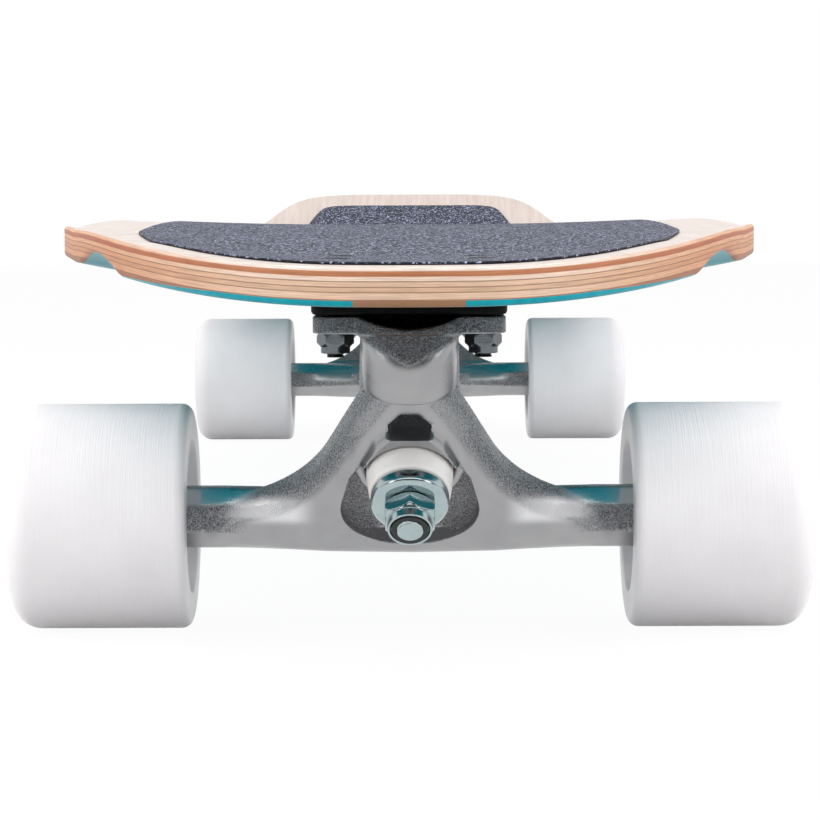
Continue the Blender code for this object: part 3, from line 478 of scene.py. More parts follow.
def maple_finish():
    """Veneer on top, sawn plies at the edge and stain underneath, told apart by the ply attribute.

    Ply runs from 0 underneath to 1 on top. Sawn fibres are a noise drawn out along the edge's own
    length, which the run attribute holds, and the veneer's figure is one drawn out along the board.
    """
    finish, tree, shader, place = new_finish("maple_laminate")
    ply = carried(tree, "ply")
    across = worked(tree, "ABSOLUTE", node(tree, "ShaderNodeSeparateXYZ", {0: place}).outputs["X"])
    along = node(tree, "ShaderNodeCombineXYZ", {"X": carried(tree, "run"), "Y": ply}).outputs[0]
    fibres = node(tree, "ShaderNodeTexNoise", {"Vector": stretched(tree, along, (75, 34, 1)), "Scale": 1,
                                               "Detail": 6, "Roughness": 0.7}).outputs["Fac"]
    fleck = ranged(tree, fibres, 0.54, 1.1, 0.3, 0.72)
    shade = node(tree, "ShaderNodeCombineColor", {0: fleck, 1: fleck, 2: fleck}).outputs[0]
    sawn = mixed(tree, 1.0, ramped(tree, ply, ply_bands_and_edge_highlight), shade, blend_type="MULTIPLY")
    # Painted shade: the sawn edge darkens and warms from the middle towards the sides, where it turns away from
    # the light.
    beside = ranged(tree, across, 0, 1, 35 * mm, 85 * mm)
    painted_side_shade = mixed(tree, beside, srgb(250, 246, 244), srgb(222, 180, 146))
    sawn = mixed(tree, 1.0, sawn, painted_side_shade, blend_type="MULTIPLY")

    figure = node(tree, "ShaderNodeTexNoise", {"Vector": stretched(tree, place, (420, 9, 60)), "Scale": 1,
                                               "Detail": 5}).outputs["Fac"]
    veneer = ramped(tree, figure, [(0.3, (196, 178, 168)), (0.7, (214, 198, 188))])
    stain = ramped(tree, figure, [(0.25, (4, 136, 152)), (0.75, (14, 158, 172))])
    bare = worked(tree, "LESS_THAN", across, bare_strip)
    underside = mixed(tree, bare, stain, srgb(150, 112, 84))

    is_top = worked(tree, "GREATER_THAN", ply, 0.992)
    dyed = ranged(tree, across, 0.160, 0.012, 50 * mm, 86 * mm)
    is_under = worked(tree, "LESS_THAN", ply, dyed)
    lower = mixed(tree, is_under, sawn, underside)
    tooth = ranged(tree, is_top, 0.25, 0.02)
    feed(shader, {"Base Color": mixed(tree, is_top, lower, veneer),
                  "Roughness": ranged(tree, is_under, 0.5, 0.3),
                  "Specular IOR Level": ranged(tree, is_under, 0.5, 0.12),
                  "Coat Weight": ranged(tree, is_top, 0.08, 0.5), "Coat Roughness": 0.22,
                  "Normal": bumped(tree, fibres, tooth, 0.2 * mm)})
    return finish


def build_deck():
    """The deck's sections with what its finish reads at each point.

    Ply is the height over the underside as a share of the thickness. Run is the length along the
    outline, and the left edge starts 2 m further on so that its fibres differ from the right one's.
    """
    y = deck_stations(0.0)
    points, kind = board_sections(y, 0.0, deck_over, deck_underside, edge_radius, 46, 12)
    under = deck_under(points[..., 0], points[..., 1])
    thickness = deck_over(points[..., 0], points[..., 1]) - under
    ply = np.clip((points[..., 2] - under) / thickness, 0, 1)
    ply = np.where(kind == 1, 1.0, np.where(kind == 0, 0.0, ply))
    length = np.cumsum(np.hypot(np.gradient(half_width(y)), np.gradient(y)))
    run = np.where(points[..., 0] < 0, length[:, None] + 2.0, length[:, None])
    skins = {"ply": ply, "run": run}
    grid_piece("deck_laminate", points, maple_finish(), "root", "deck", 40, skins)


build_deck()

# Grip sheet: black sandpaper glued on the deck's top, a border inside its edge, with the eight bolt
# heads showing through. The grit is quartz, which glints where a facet catches a lamp.
grip_border = 25 * mm
grip_thickness = 0.5 * mm
grip_edge = 0.15 * mm


def grit_finish():
    """Charcoal grains, one to a cell of a cellular noise: the cell's first random number gives the tone, whose
    palest grains are painted glints, and its second says whether the grain glints. The bump adds the distance
    in the cell to a finer noise.
    """
    finish, tree, shader, place = new_finish("grip_grit")
    grains = node(tree, "ShaderNodeTexVoronoi", {"Vector": place, "Scale": 1500.0}).outputs
    fine = node(tree, "ShaderNodeTexNoise", {"Vector": place, "Scale": 2600.0, "Detail": 2}).outputs["Fac"]
    cells = node(tree, "ShaderNodeSeparateColor", {0: grains["Color"]}).outputs
    tone_and_painted_glints = ramped(tree, cells[0], [(0.0, (20, 25, 40)), (0.78, (35, 41, 62)), (1.0, (200, 210, 244))])
    height = worked(tree, "ADD", grains["Distance"], fine)
    feed(shader, {"Base Color": tone_and_painted_glints, "Roughness": ranged(tree, cells[1], 0.8, 0.22, 0.8, 0.95),
                  "Normal": bumped(tree, height, 0.9, 0.4 * mm)})
    return finish


def grip_under(x, y):
    """The deck's top and the gap for the glue."""
    return deck_over(x, y) + solid_gap


def grip_over(x, y):
    """The sheet's own thickness over its underside."""
    return grip_under(x, y) + grip_thickness


def build_grip():
    """The same closed sections as the deck's, inside a border and with one row down the edge."""
    points, _ = board_sections(deck_stations(grip_border), grip_border, grip_over, grip_under, grip_edge, 40, 1)
    grid_piece("grip_sheet", points, grit_finish(), "root", "grip_tape", 40)


build_grip()

# Riser pads: moulded black rubber between the deck and each baseplate, a little wider than the plate
# and with eased edges. The four bolts that hold the truck pass through them.
plate_half_width = 26.35 * mm
plate_front = 50 * mm
plate_back = 40 * mm
plate_corner = 7 * mm
plate_thickness = 4.8 * mm
plate_bottom = float(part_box("front_baseplate")[1][2]) - plate_thickness
plate_top = plate_bottom + plate_thickness
riser_margin = 0.4 * mm
riser_low, riser_high = float(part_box("front_riser_pad")[0][2]), float(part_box("front_riser_pad")[1][2])
bolt_across = 20.65 * mm
bolt_outboard, bolt_inboard = -26 * mm, 27.98 * mm
bolt_hole = 2.8 * mm
riser_edge = 0.5 * mm
riser_step = 0.8 * mm
spare = 2 * mm


def at_truck(points, end):
    """Points of a truck's own frame, outboard along -Y from the axle, put at the front or the rear."""
    x, y, z = np.moveaxis(points, -1, 0)
    if end == "front":
        return np.stack([x, front_axle_y + y, z], axis=-1)
    return np.stack([-x, rear_axle_y - y, z], axis=-1)


def soft_min(a, b, ease):
    """The smaller of two distances with a fillet where they meet: a smooth union of two shapes."""
    return -soft_max(-a, -b, ease)


def rounded_box_distance(x, y, low, high, corner):
    """Signed distance in a plane to a rounded rectangle: to a smaller sharp one, less the corner's radius."""
    middle = [(a + b) / 2 for a, b in zip(low, high)]
    reach = [(b - a) / 2 - corner for a, b in zip(low, high)]
    past_x, past_y = np.abs(x - middle[0]) - reach[0], np.abs(y - middle[1]) - reach[1]
    outside = np.hypot(np.clip(past_x, 0, None), np.clip(past_y, 0, None))
    return outside + np.minimum(np.maximum(past_x, past_y), 0) - corner


def net_surface(field, low, high, step):
    """The closed surface where a field of distances is zero, as points and four-sided faces.

    Surface nets: every grid cell that the surface crosses gets one point, the mean of the places where
    the field changes sign along the cell's edges, and every grid edge that it crosses gets one face
    between the four cells round it.
    """
    axes = [np.arange(a, b + step, step) for a, b in zip(low, high)]
    x, y, z = axes[0][:, None, None], axes[1][None, :, None], axes[2][None, None, :]
    values = np.broadcast_to(field(x, y, z), [len(axis) for axis in axes]).copy()
    inside = values < 0
    shape = np.array(values.shape) - 1
    count = np.zeros(shape, dtype=np.int8)
    corners = [(i, j, k) for i in (0, 1) for j in (0, 1) for k in (0, 1)]
    for i, j, k in corners:
        count += inside[i:shape[0] + i, j:shape[1] + j, k:shape[2] + k]
    cells = np.argwhere((count > 0) & (count < 8))
    number = np.full(shape, -1)
    number[tuple(cells.T)] = np.arange(len(cells))
    total, crossings = np.zeros((len(cells), 3)), np.zeros(len(cells))
    faces = []
    for axis in range(3):
        ahead = np.eye(3, dtype=int)[axis]
        for corner in corners:
            if corner[axis]:
                continue
            start = cells + corner
            a, b = values[tuple(start.T)], values[tuple((start + ahead).T)]
            crossed = (a < 0) != (b < 0)
            share = a[crossed] / (a[crossed] - b[crossed])
            total[crossed] += np.array(corner) + share[:, None] * ahead
            crossings += crossed
        first, second = [np.eye(3, dtype=int)[other] for other in range(3) if other != axis]
        reach = [slice(1, length) for length in shape]
        reach[axis] = slice(0, shape[axis])
        beyond = list(reach)
        beyond[axis] = slice(1, shape[axis] + 1)
        before, after = inside[tuple(reach)], inside[tuple(beyond)]
        for enters in (False, True):
            found = np.argwhere((before != after) & (before == enters)) + 1 - ahead
            ring = [found, found - first, found - first - second, found - second]
            quads = np.stack([number[tuple(place.T)] for place in ring], axis=-1)
            turned = enters != (axis == 1)
            faces.append(quads if turned else quads[:, ::-1])
    points = np.array(low) + (cells + total / crossings[:, None]) * step
    return points, np.concatenate(faces)


def fine_noise_group():
    """A node group: a noise of a scale and detail, stretched so that low becomes 0 and high becomes 1."""
    group = bpy.data.node_groups.new("fine_noise", "ShaderNodeTree")
    group.interface.new_socket("Vector", in_out="INPUT", socket_type="NodeSocketVector")
    for name in ("Scale", "Detail", "Low", "High"):
        group.interface.new_socket(name, in_out="INPUT", socket_type="NodeSocketFloat")
    group.interface.new_socket("Value", in_out="OUTPUT", socket_type="NodeSocketFloat")
    given = group.nodes.new("NodeGroupInput").outputs
    noise = node(group, "ShaderNodeTexNoise", {name: given[name] for name in ("Vector", "Scale", "Detail")})
    spread = ranged(group, noise.outputs["Fac"], 0, 1, given["Low"], given["High"])
    node(group, "NodeGroupOutput", {"Value": spread})
    return group


def fine_noise(tree, vector, scale, detail=3.0, low=0.3, high=0.7):
    """The fine noise group placed in a material with its own values."""
    values = {"Vector": vector, "Scale": scale, "Detail": detail, "Low": low, "High": high}
    return node(tree, "ShaderNodeGroup", values, node_tree=noise_group).outputs["Value"]


def moulded_finish(name, dark, light, roughness, grain_scale, grain_height, subsurface=0.0, specular=0.5):
    """Rubber or plastic from a mould: two close tones, a fine skin and uneven gloss."""
    finish, tree, shader, place = new_finish(name)
    skin = fine_noise(tree, place, grain_scale)
    cloud = fine_noise(tree, place, 60.0, 4.0)
    feed(shader, {"Base Color": mixed(tree, cloud, srgb(*dark), srgb(*light)),
                  "Roughness": ranged(tree, skin, roughness - 0.06, roughness + 0.08),
                  "Normal": bumped(tree, skin, 0.5, grain_height), "Specular IOR Level": specular,
                  "Subsurface Weight": subsurface, "Subsurface Radius": (4 * mm, 3 * mm, 3 * mm)})
    return finish


def bolt_holes(body, x, y):
    """A body's distance with the truck's four bolt holes cut through it."""
    for place in (bolt_outboard, bolt_inboard):
        body = np.maximum(body, bolt_hole - np.hypot(np.abs(x) - bolt_across, y - place))
    return body


def riser_field(x, y, z):
    """Signed distance to the riser: a rounded rectangle between two heights, less the bolt holes."""
    low = (-plate_half_width - riser_margin, -plate_front - riser_margin)
    high = (plate_half_width + riser_margin, plate_back + riser_margin)
    outline = rounded_box_distance(x, y, low, high, plate_corner)
    return bolt_holes(soft_max(outline, np.maximum(riser_low - z, z - riser_high), riser_edge), x, y)


noise_group = fine_noise_group()
riser_rubber = moulded_finish("riser_rubber", (2, 3, 4), (5, 6, 7), roughness=0.6, grain_scale=900,
                              grain_height=0.08 * mm, specular=0.12)
riser_start = (-plate_half_width - spare, -plate_front - spare, riser_low - spare)
riser_stop = (plate_half_width + spare, plate_back + spare, riser_high + spare)
riser_points, riser_faces = net_surface(riser_field, riser_start, riser_stop, riser_step)
for end in ends:
    mesh_piece(f"{end}_riser", at_truck(riser_points, end), riser_faces, riser_rubber, "root",
               f"{end}_riser_pad", 50)

# Baseplates: one aluminium casting each, a plate with the pivot boss outboard and the sloping kingpin
# boss inboard. The skin is as cast, grainy, and the lower part of the pivot boss is ground smooth.
kingpin_tilt = math.radians(40)
boss_tilt = math.radians(22)
wheel_radius = 32.5 * mm
axle_drop = 30.5 * mm
axle_rake = 4.4 * mm
ring_out = axle_drop * math.sin(kingpin_tilt) + axle_rake * math.cos(kingpin_tilt)
ring_height = wheel_radius + axle_drop * math.cos(kingpin_tilt) - axle_rake * math.sin(kingpin_tilt)
pivot_reach = 35 * mm
pivot_y = -ring_out - pivot_reach * math.sin(kingpin_tilt)
pivot_z = ring_height + pivot_reach * math.cos(kingpin_tilt)
boss_radius = 13 * mm
boss_drop = 7.8 * mm
boss_seat = 19.9 * mm
kingpin_boss_radius = 14.5 * mm
scallop_radius = 29 * mm
scallop_depth = 3.4 * mm
scallop_start = 22 * mm
cup_radius = 8 * mm
cup_shoulder = 4 * mm
cup_top_radius = 4.6 * mm
cup_end = 7.7 * mm
kingpin_bore = 5.15 * mm
kingpin_head_bore = 8.8 * mm
kingpin_head_seat = 46 * mm
flat_start_z = 78.2 * mm
flat_lean = 0.42
gusset_middle = -26 * mm
gusset_reach = 14 * mm
gusset_half = 3.5 * mm
gusset_drop = 9 * mm
ground_height = 79.5 * mm
cast_step = 0.7 * mm


def cast_finish(name, hollow, crest):
    """Cast aluminium: a sparkling grain on the skin, satin where it is polished, and a painted highlight, a
    paler base colour, where the mesh carries one.

    Both are shares that the mesh carries. Grain and dust are two fine noises, and the cloud a broad one.
    """
    finish, tree, shader, place = new_finish(name)
    polish = carried(tree, "polish")
    grains = fine_noise(tree, place, 2100.0, 2.0)
    dust = fine_noise(tree, place, 4200.0, 1.0, 0.36, 0.64)
    cloud = fine_noise(tree, place, 90.0, 4.0)
    bite = ranged(tree, polish, 0.7, 0.05)
    roughness = mixed(tree, polish, ranged(tree, dust, 0.2, 0.42), ranged(tree, cloud, 0.26, 0.34), "FLOAT")
    satin = mixed(tree, cloud, srgb(158, 158, 160), srgb(170, 170, 171))
    # Painted highlight: the base colour pales towards near white where the mesh carries the painted_highlight
    # share.
    bright = mixed(tree, carried(tree, "painted_highlight"), satin, srgb(232, 232, 234))
    speck = mixed(tree, grains, srgb(*hollow), srgb(*crest))
    feed(shader, {"Base Color": mixed(tree, polish, speck, bright), "Metallic": 1.0, "Roughness": roughness,
                  "Normal": bumped(tree, worked(tree, "ADD", grains, dust), bite, 0.26 * mm)})
    return finish


def baseplate_field(x, y, z):
    """Signed distance to the baseplate in the truck's upright frame, smooth unions for its fillets.

    The plate, the pivot boss (a cylinder on its leaning axis with a ground flat), the kingpin boss and
    the gusset between them are joined. The hollow on top, cup hole, kingpin bore and bolt holes are cut.
    """
    low, high = (-plate_half_width, -plate_front), (plate_half_width, plate_back)
    outline = rounded_box_distance(x, y, low, high, plate_corner)
    body = soft_max(outline, np.maximum(plate_bottom - z, z - plate_top), 0.4 * mm)

    lean, rise = math.sin(boss_tilt), math.cos(boss_tilt)
    along = -(y - pivot_y) * lean + (z - pivot_z) * rise
    aside = (y - pivot_y) * rise + (z - pivot_z) * lean
    boss_round = np.hypot(x, aside)
    boss = soft_max(boss_round - boss_radius, -boss_drop - along, 1.2 * mm)
    flat_y = pivot_y - (flat_start_z - pivot_z) * math.tan(boss_tilt) - boss_radius / rise
    flat = (flat_y + flat_lean * (z - flat_start_z) - y) / math.hypot(1, flat_lean)
    boss = soft_max(boss, flat, 3 * mm)
    body = soft_min(body, boss, 2.5 * mm)

    q = (y + ring_out) * math.cos(kingpin_tilt) + (z - ring_height) * math.sin(kingpin_tilt)
    t = -(y + ring_out) * math.sin(kingpin_tilt) + (z - ring_height) * math.cos(kingpin_tilt)
    kingpin_round = np.hypot(x, t)
    kingpin_boss = soft_max(kingpin_round - kingpin_boss_radius, boss_seat - q, 1.2 * mm)
    body = soft_min(body, kingpin_boss, 3 * mm)
    lengthways = np.maximum(plate_bottom - gusset_drop - z, np.abs(y - gusset_middle) - gusset_reach)
    body = soft_min(body, np.maximum(np.abs(x) - gusset_half, lengthways), 3 * mm)

    body = soft_max(body, z - plate_top, 0.5 * mm)
    scallop = np.hypot(x, z - plate_top + scallop_depth - scallop_radius)
    body = soft_max(body, -np.maximum(scallop - scallop_radius, y + scallop_start), 0.5 * mm)
    cone = np.interp(along, [cup_shoulder, cup_end], [cup_radius, cup_top_radius])
    cup_hole = np.maximum(boss_round - cone - solid_gap, along - cup_end - solid_gap)
    body = soft_max(body, -cup_hole, 0.4 * mm)
    stem = np.where(q < kingpin_head_seat - solid_gap, kingpin_bore, kingpin_head_bore)
    return bolt_holes(np.maximum(body, stem - kingpin_round), x, y)


def plate_skins(points):
    """Shares at each point: polish on the ground lower part of the pivot boss and on the plate's rim, and no
    painted highlight.
    """
    x, y, z = points.T
    ground_edge = ground_height + 0.55 * np.abs(x)
    on_boss = smooth((pivot_y - y) / (3 * mm)) * (np.abs(x) < boss_radius + 0.5 * mm)
    on_boss = smooth((ground_edge - z) / (1.6 * mm)) * on_boss
    on_rim = smooth(1.2 - np.abs(z - plate_bottom) / (0.3 * mm))
    return {"polish": np.maximum(on_boss, on_rim), "painted_highlight": np.zeros(len(points))}


# Painted shade: the plates take a darker grain than the hangers, for the shade under the deck.
plate_alloy_painted_shade = cast_finish("cast_aluminium_painted_shade", (66, 68, 72), (160, 162, 166))
alloy = cast_finish("cast_aluminium", (100, 100, 103), (206, 206, 209))
plate_start = (-plate_half_width - spare, -plate_front - 18 * mm, 60 * mm)
plate_stop = (plate_half_width + spare, plate_back + spare, plate_top + spare)
plate_points, plate_faces = net_surface(baseplate_field, plate_start, plate_stop, cast_step)
for end in ends:
    mesh_piece(f"{end}_baseplate_casting", at_truck(plate_points, end), plate_faces, plate_alloy_painted_shade, "root",
               f"{end}_baseplate", 60, plate_skins(plate_points))

# Hangers: one aluminium casting each, two eight-sided arms joined by an A frame with a pocket in
# front, the ring that the bushings sit in, and the nose that turns in the pivot cup. The faces that
# were ground are satin and the rest is grainy. The arms' upper slopes and the sweep from leg to arm
# carry a painted highlight, a paler base colour.
hanger_half_width = 75 * mm
arm_radius = 8.8 * mm
arm_sag = 0.3 * mm
yoke_end = 62 * mm
yoke_low = -38.9 * mm
yoke_depth = 11.8 * mm
yoke_swell = 36 * mm
frame_depth = 4.7 * mm
face_front = 7.3 * mm
face_front_at_arms = 4.2 * mm
face_end = 24 * mm
leg_half_width = 23.4 * mm
leg_splay = 0.463
leg_fillet = 40 * mm
leg_foot = -21.9 * mm
leg_top = 34 * mm
bevel_width = 5.5 * mm
bevel_drop = 4.2 * mm
ring_radius = 15.3 * mm
ring_front = 11.4 * mm
ring_back = 9 * mm
seat_web = 4 * mm
seat_radius = 12.7 * mm
pocket_floor = 1.6 * mm
ring_step = 6.2 * mm
nose_radius = 6 * mm
nose_relief = 1.2 * mm
neck_radius = 7.4 * mm
neck_foot = 17 * mm
neck_top = 23.4 * mm
apex_gap = 1.8 * mm
axle_bore = 4.3 * mm
stem_bore = 6.65 * mm
opening_half_width = 19.7 * mm
opening_widest = -15.5 * mm
opening_foot = -30.4 * mm
opening_power = 2.3
opening_bend = (16.1 * mm, -0.2 * mm)
opening_shoulder = (7.3 * mm, 14 * mm)
opening_top = (2.6 * mm, 21.4 * mm)
arch_top = (7.5 * mm, 16.3 * mm)
arch_foot = (15.2 * mm, -0.5 * mm)
arch_seat = (11.6 * mm, 5.5 * mm)
window_foot = (7.2 * mm, 15.2 * mm)
window_top = (2.8 * mm, 21 * mm)


def frame_outline():
    """Right half of the A shape: the yoke, a fillet from the arm's top, and a straight leg leaning inwards."""
    lean = math.atan(leg_splay)
    centre_z = leg_foot + leg_fillet
    centre_x = leg_half_width + leg_fillet / math.cos(lean) - leg_splay * centre_z
    turn = np.linspace(math.pi / 2, lean, 12)
    arc = [(centre_x - leg_fillet * math.cos(angle), centre_z - leg_fillet * math.sin(angle)) for angle in turn]
    foot = [(0, yoke_low), (yoke_end, yoke_low), (yoke_end, leg_foot)]
    return foot + arc + [(leg_half_width - leg_splay * leg_top, leg_top), (0, leg_top)]


def opening_outline():
    """Right half of the rounded triangle between the legs: a rounder ellipse below, straight sides above."""
    turn = np.linspace(0, math.pi / 2, 14)
    across = opening_half_width * np.sin(turn) ** (2 / opening_power)
    height = opening_widest - (opening_widest - opening_foot) * np.cos(turn) ** (2 / opening_power)
    return list(zip(across, height)) + [opening_bend, opening_shoulder, opening_top, (0, opening_top[1])]


def outline_distance(half, x, y, rounds=2):
    """Signed distance in a plane to a mirrored outline, its corners cut round that many times.

    A round puts two points on each side, a quarter of it from its ends. The distance is the least one to
    any side, and it is negative where a level line to one side crosses the outline an odd number of times.
    """
    right = np.array(half, dtype=float)
    loop = np.concatenate([right, right[::-1][1:-1] * (-1, 1)]) if half[0][0] == 0 else right
    for _ in range(rounds):
        ahead = np.roll(loop, -1, axis=0)
        loop = np.stack([0.75 * loop + 0.25 * ahead, 0.25 * loop + 0.75 * ahead], axis=1).reshape(-1, 2)
    nearest = np.full(np.broadcast(x, y).shape, np.inf)
    inside = np.zeros(nearest.shape, dtype=bool)
    for (ax, ay), (bx, by) in zip(loop, np.roll(loop, -1, axis=0)):
        ex, ey = bx - ax, by - ay
        share = np.clip(((x - ax) * ex + (y - ay) * ey) / (ex * ex + ey * ey), 0, 1)
        nearest = np.minimum(nearest, np.hypot(x - ax - share * ex, y - ay - share * ey))
        if ay != by:
            inside ^= ((ay > y) != (by > y)) & (x < ex * (y - ay) / ey + ax)
    return np.where(inside, -nearest, nearest)


def out_and_up(q, t):
    """Places level outboard of the axle and above it, for places in the hanger's own frame."""
    lean, rise = math.sin(kingpin_tilt), math.cos(kingpin_tilt)
    ahead, above = q - axle_rake, t + axle_drop
    return above * lean - ahead * rise, above * rise + ahead * lean


def face_reach(x):
    """How far the A frame's flat face stands out in front at each width."""
    return np.interp(np.abs(x), [face_end, yoke_end], [face_front, face_front_at_arms])


def yoke_shape(x, q, t):
    """Signed distance to the A frame with the yoke.

    The outline is cut by a flat face, which thins towards the arms, and by a bevel round it, an upright
    front that swells in the middle, a level underside, a flat back and the lid under the pivot boss.
    """
    out, up = out_and_up(q, t)
    aside = np.abs(x)
    edge, front = outline_distance(frame_outline(), x, t), -face_reach(x) - q
    bevel = (edge + bevel_width + front * bevel_width / bevel_drop) / math.hypot(1, bevel_width / bevel_drop)
    body = soft_max(soft_max(edge, front, 0.5 * mm), bevel, 1.4 * mm)
    near, middle = [np.hypot(aside - end, 5 * mm) - (aside - end) for end in (yoke_end - 4 * mm, yoke_swell)]
    front = arm_radius + 0.1 * near + 0.375 * middle
    body = soft_max(body, 0.8 * (out - front), 2.8 * mm)
    underside = np.interp(aside, [0, yoke_end], [yoke_depth, arm_radius + arm_sag])
    body = soft_max(body, -underside - up, 2 * mm)
    body = soft_max(body, q - frame_depth, 1.4 * mm)
    lid = (t - pivot_reach) * math.cos(kingpin_tilt - boss_tilt) + q * math.sin(kingpin_tilt - boss_tilt)
    return soft_max(body, lid + boss_drop + apex_gap, 0.8 * mm)


def hanger_field(x, q, t):
    """Signed distance to the hanger in its own frame: q along the kingpin, t along the pivot axis.

    Each arm is a square on edge cut by a square, and its corners are eased where it meets the yoke.
    The pocket, window, bushing seats and bores are cut out, and the ring, arch and nose are joined on.
    """
    out, up = out_and_up(q, t)
    level = np.abs(up + arm_sag)
    corner = (np.abs(out) + level) / math.sqrt(2)
    ease = np.interp(np.abs(x), [34 * mm, 54 * mm], [5 * mm, 0.9 * mm])
    arms = soft_max(soft_max(np.abs(out), level, 0.9 * mm), corner, ease) - arm_radius
    arms = soft_max(arms, np.abs(x) - hanger_half_width, 1.2 * mm)
    body = soft_min(yoke_shape(x, q, t), arms, 1.5 * mm)

    opening = outline_distance(opening_outline(), x, t, 1)
    pocket = np.maximum(opening + 0.08 * (q + 8 * mm), q + pocket_floor)
    body = soft_max(body, -pocket, 0.6 * mm)
    middle_round = np.hypot(x, t)
    ring = soft_max(middle_round - ring_radius, np.maximum(-ring_step - q, q - ring_back), mm)
    arch_half = [(0, arch_top[1]), arch_top, arch_foot, arch_seat, (0, arch_seat[1])]
    arch = soft_max(outline_distance(arch_half, x, t, 1), np.maximum(-ring_front - q, q), 0.8 * mm)
    body = soft_min(body, soft_min(ring, arch, 0.5 * mm), 2 * mm)
    waist = nose_radius - nose_relief
    neck = np.interp(t, [neck_top, neck_top + nose_relief, pivot_reach - nose_radius / 2, pivot_reach],
                     [neck_radius, waist, waist, nose_radius])
    nose = np.maximum(np.hypot(x, q) - neck, t - pivot_reach)
    nose = np.minimum(nose, np.sqrt(x**2 + q**2 + (t - pivot_reach) ** 2) - nose_radius)
    body = soft_min(body, np.maximum(nose, neck_foot - t), 1.2 * mm)

    window_half = [(0, window_foot[1]), window_foot, window_top, (0, window_top[1])]
    body = np.maximum(body, -outline_distance(window_half, x, t, 1))
    body = soft_max(body, -np.maximum(middle_round - seat_radius, seat_web - np.abs(q)), 0.6 * mm)
    body = np.maximum(body, stem_bore - middle_round)
    return np.maximum(body, axle_bore - np.hypot(q - axle_rake, t + axle_drop))


def from_tilt(points):
    """Points of the hanger's own frame, turned by the kingpin's tilt into the truck's upright frame."""
    x, q, t = np.moveaxis(points, -1, 0)
    y = -ring_out + q * math.cos(kingpin_tilt) - t * math.sin(kingpin_tilt)
    z = ring_height + q * math.sin(kingpin_tilt) + t * math.cos(kingpin_tilt)
    return np.stack([x, y, z], axis=-1)


def hanger_skins(points):
    """Shares of polish and of painted highlight at each point, smooth steps of how far it is from a form.

    Satin: the front face, the arms' four slopes (45 degrees round the axle), the underside, the arch's
    collar, less on the legs and on the sweep from leg to arm. Painted highlight, a paler base colour: the upper
    slopes and the sweep.
    """
    x, q, t = points.T
    aside = np.abs(x)
    out, up = out_and_up(q, t)
    from_face = np.abs(q + face_reach(aside))
    face = smooth((3.2 * mm - from_face) / (2.4 * mm)) * smooth((58 * mm - aside) / (14 * mm))
    from_level = np.abs(np.degrees(np.arctan2(up, np.abs(out))))
    near_arm = smooth((arm_radius + 5 * mm - np.hypot(out, up)) / (4 * mm))
    slope = smooth((26 - np.abs(from_level - 45)) / 9) * near_arm
    underside = smooth((-5 * mm - up) / mm)
    collar = smooth((t + 2 * mm) / mm) * (q < -face_front - 0.5 * mm)
    leg = 0.55 * smooth((t - 6 * mm) / (8 * mm)) * smooth((9 * mm - from_face) / (6 * mm))
    sweep = 0.85 * smooth((56 * mm - aside) / (8 * mm)) * smooth((aside - 26 * mm) / (8 * mm))
    sweep = sweep * smooth((up + 2 * mm) / (3 * mm)) * smooth((9 * mm - up) / (4 * mm))
    polish = np.max([face, slope, underside, collar, leg, sweep], axis=0)
    return {"polish": polish, "painted_highlight": np.maximum(slope * (up > 0), sweep)}


hanger_start = (-hanger_half_width - spare, -ring_front - spare, yoke_low - 4 * mm)
hanger_stop = (hanger_half_width + spare, 17 * mm, pivot_reach + 8 * mm)
hanger_points, hanger_faces = net_surface(hanger_field, hanger_start, hanger_stop, cast_step)
for end in ends:
    mesh_piece(f"{end}_hanger_casting", at_truck(from_tilt(hanger_points), end), hanger_faces, alloy,
               f"{end}_truck_hanger", f"{end}_hanger", 60, hanger_skins(hanger_points))

# Pivot cups: black urethane cups pressed into the pivot bosses. Each has a round bowl for the hanger's
# nose, a flared mouth, and a cone outside that tapers above a straight shoulder.
cup_bore = 6.5 * mm
cup_mouth = 3.2 * mm
cup_flare = 0.9 * mm


def eased(profile, radius, steps=4):
    """A profile with its inner corners rounded.

    Each corner is cut on both sides by the radius, or less on a short side, and a parabola with the
    corner as its middle control point joins the cuts.
    """
    points = [np.array(point, dtype=float) for point in profile]
    rounded = [points[0]]
    for before, corner, after in zip(points[:-2], points[1:-1], points[2:]):
        into, out = before - corner, after - corner
        reach_in, reach_out = np.linalg.norm(into), np.linalg.norm(out)
        cut = min(radius, 0.45 * reach_in, 0.45 * reach_out)
        start, stop = corner + into / reach_in * cut, corner + out / reach_out * cut
        for share in np.linspace(0, 1, steps + 1):
            rounded.append((1 - share) ** 2 * start + 2 * share * (1 - share) * corner + share**2 * stop)
    return np.array(rounded + [points[-1]])


def lathe(profile, segments):
    """A profile of (radius, along) pairs swept round the third axis, rings by places round."""
    profile = np.asarray(profile)
    turn = np.arange(segments) * 2 * math.pi / segments
    radius, along = profile[:, :1], profile[:, 1:]
    return np.stack([radius * np.cos(turn), radius * np.sin(turn), np.repeat(along, segments, axis=1)], axis=-1)


def along_pivot(points, end):
    """Turned points put on the pivot boss's leaning axis, with zero at the pivot's centre."""
    lean, rise = math.sin(boss_tilt), math.cos(boss_tilt)
    x, y, z = np.moveaxis(points, -1, 0)
    placed = [x, pivot_y + y * rise - z * lean, pivot_z + y * lean + z * rise]
    return at_truck(np.stack(placed, axis=-1), end)


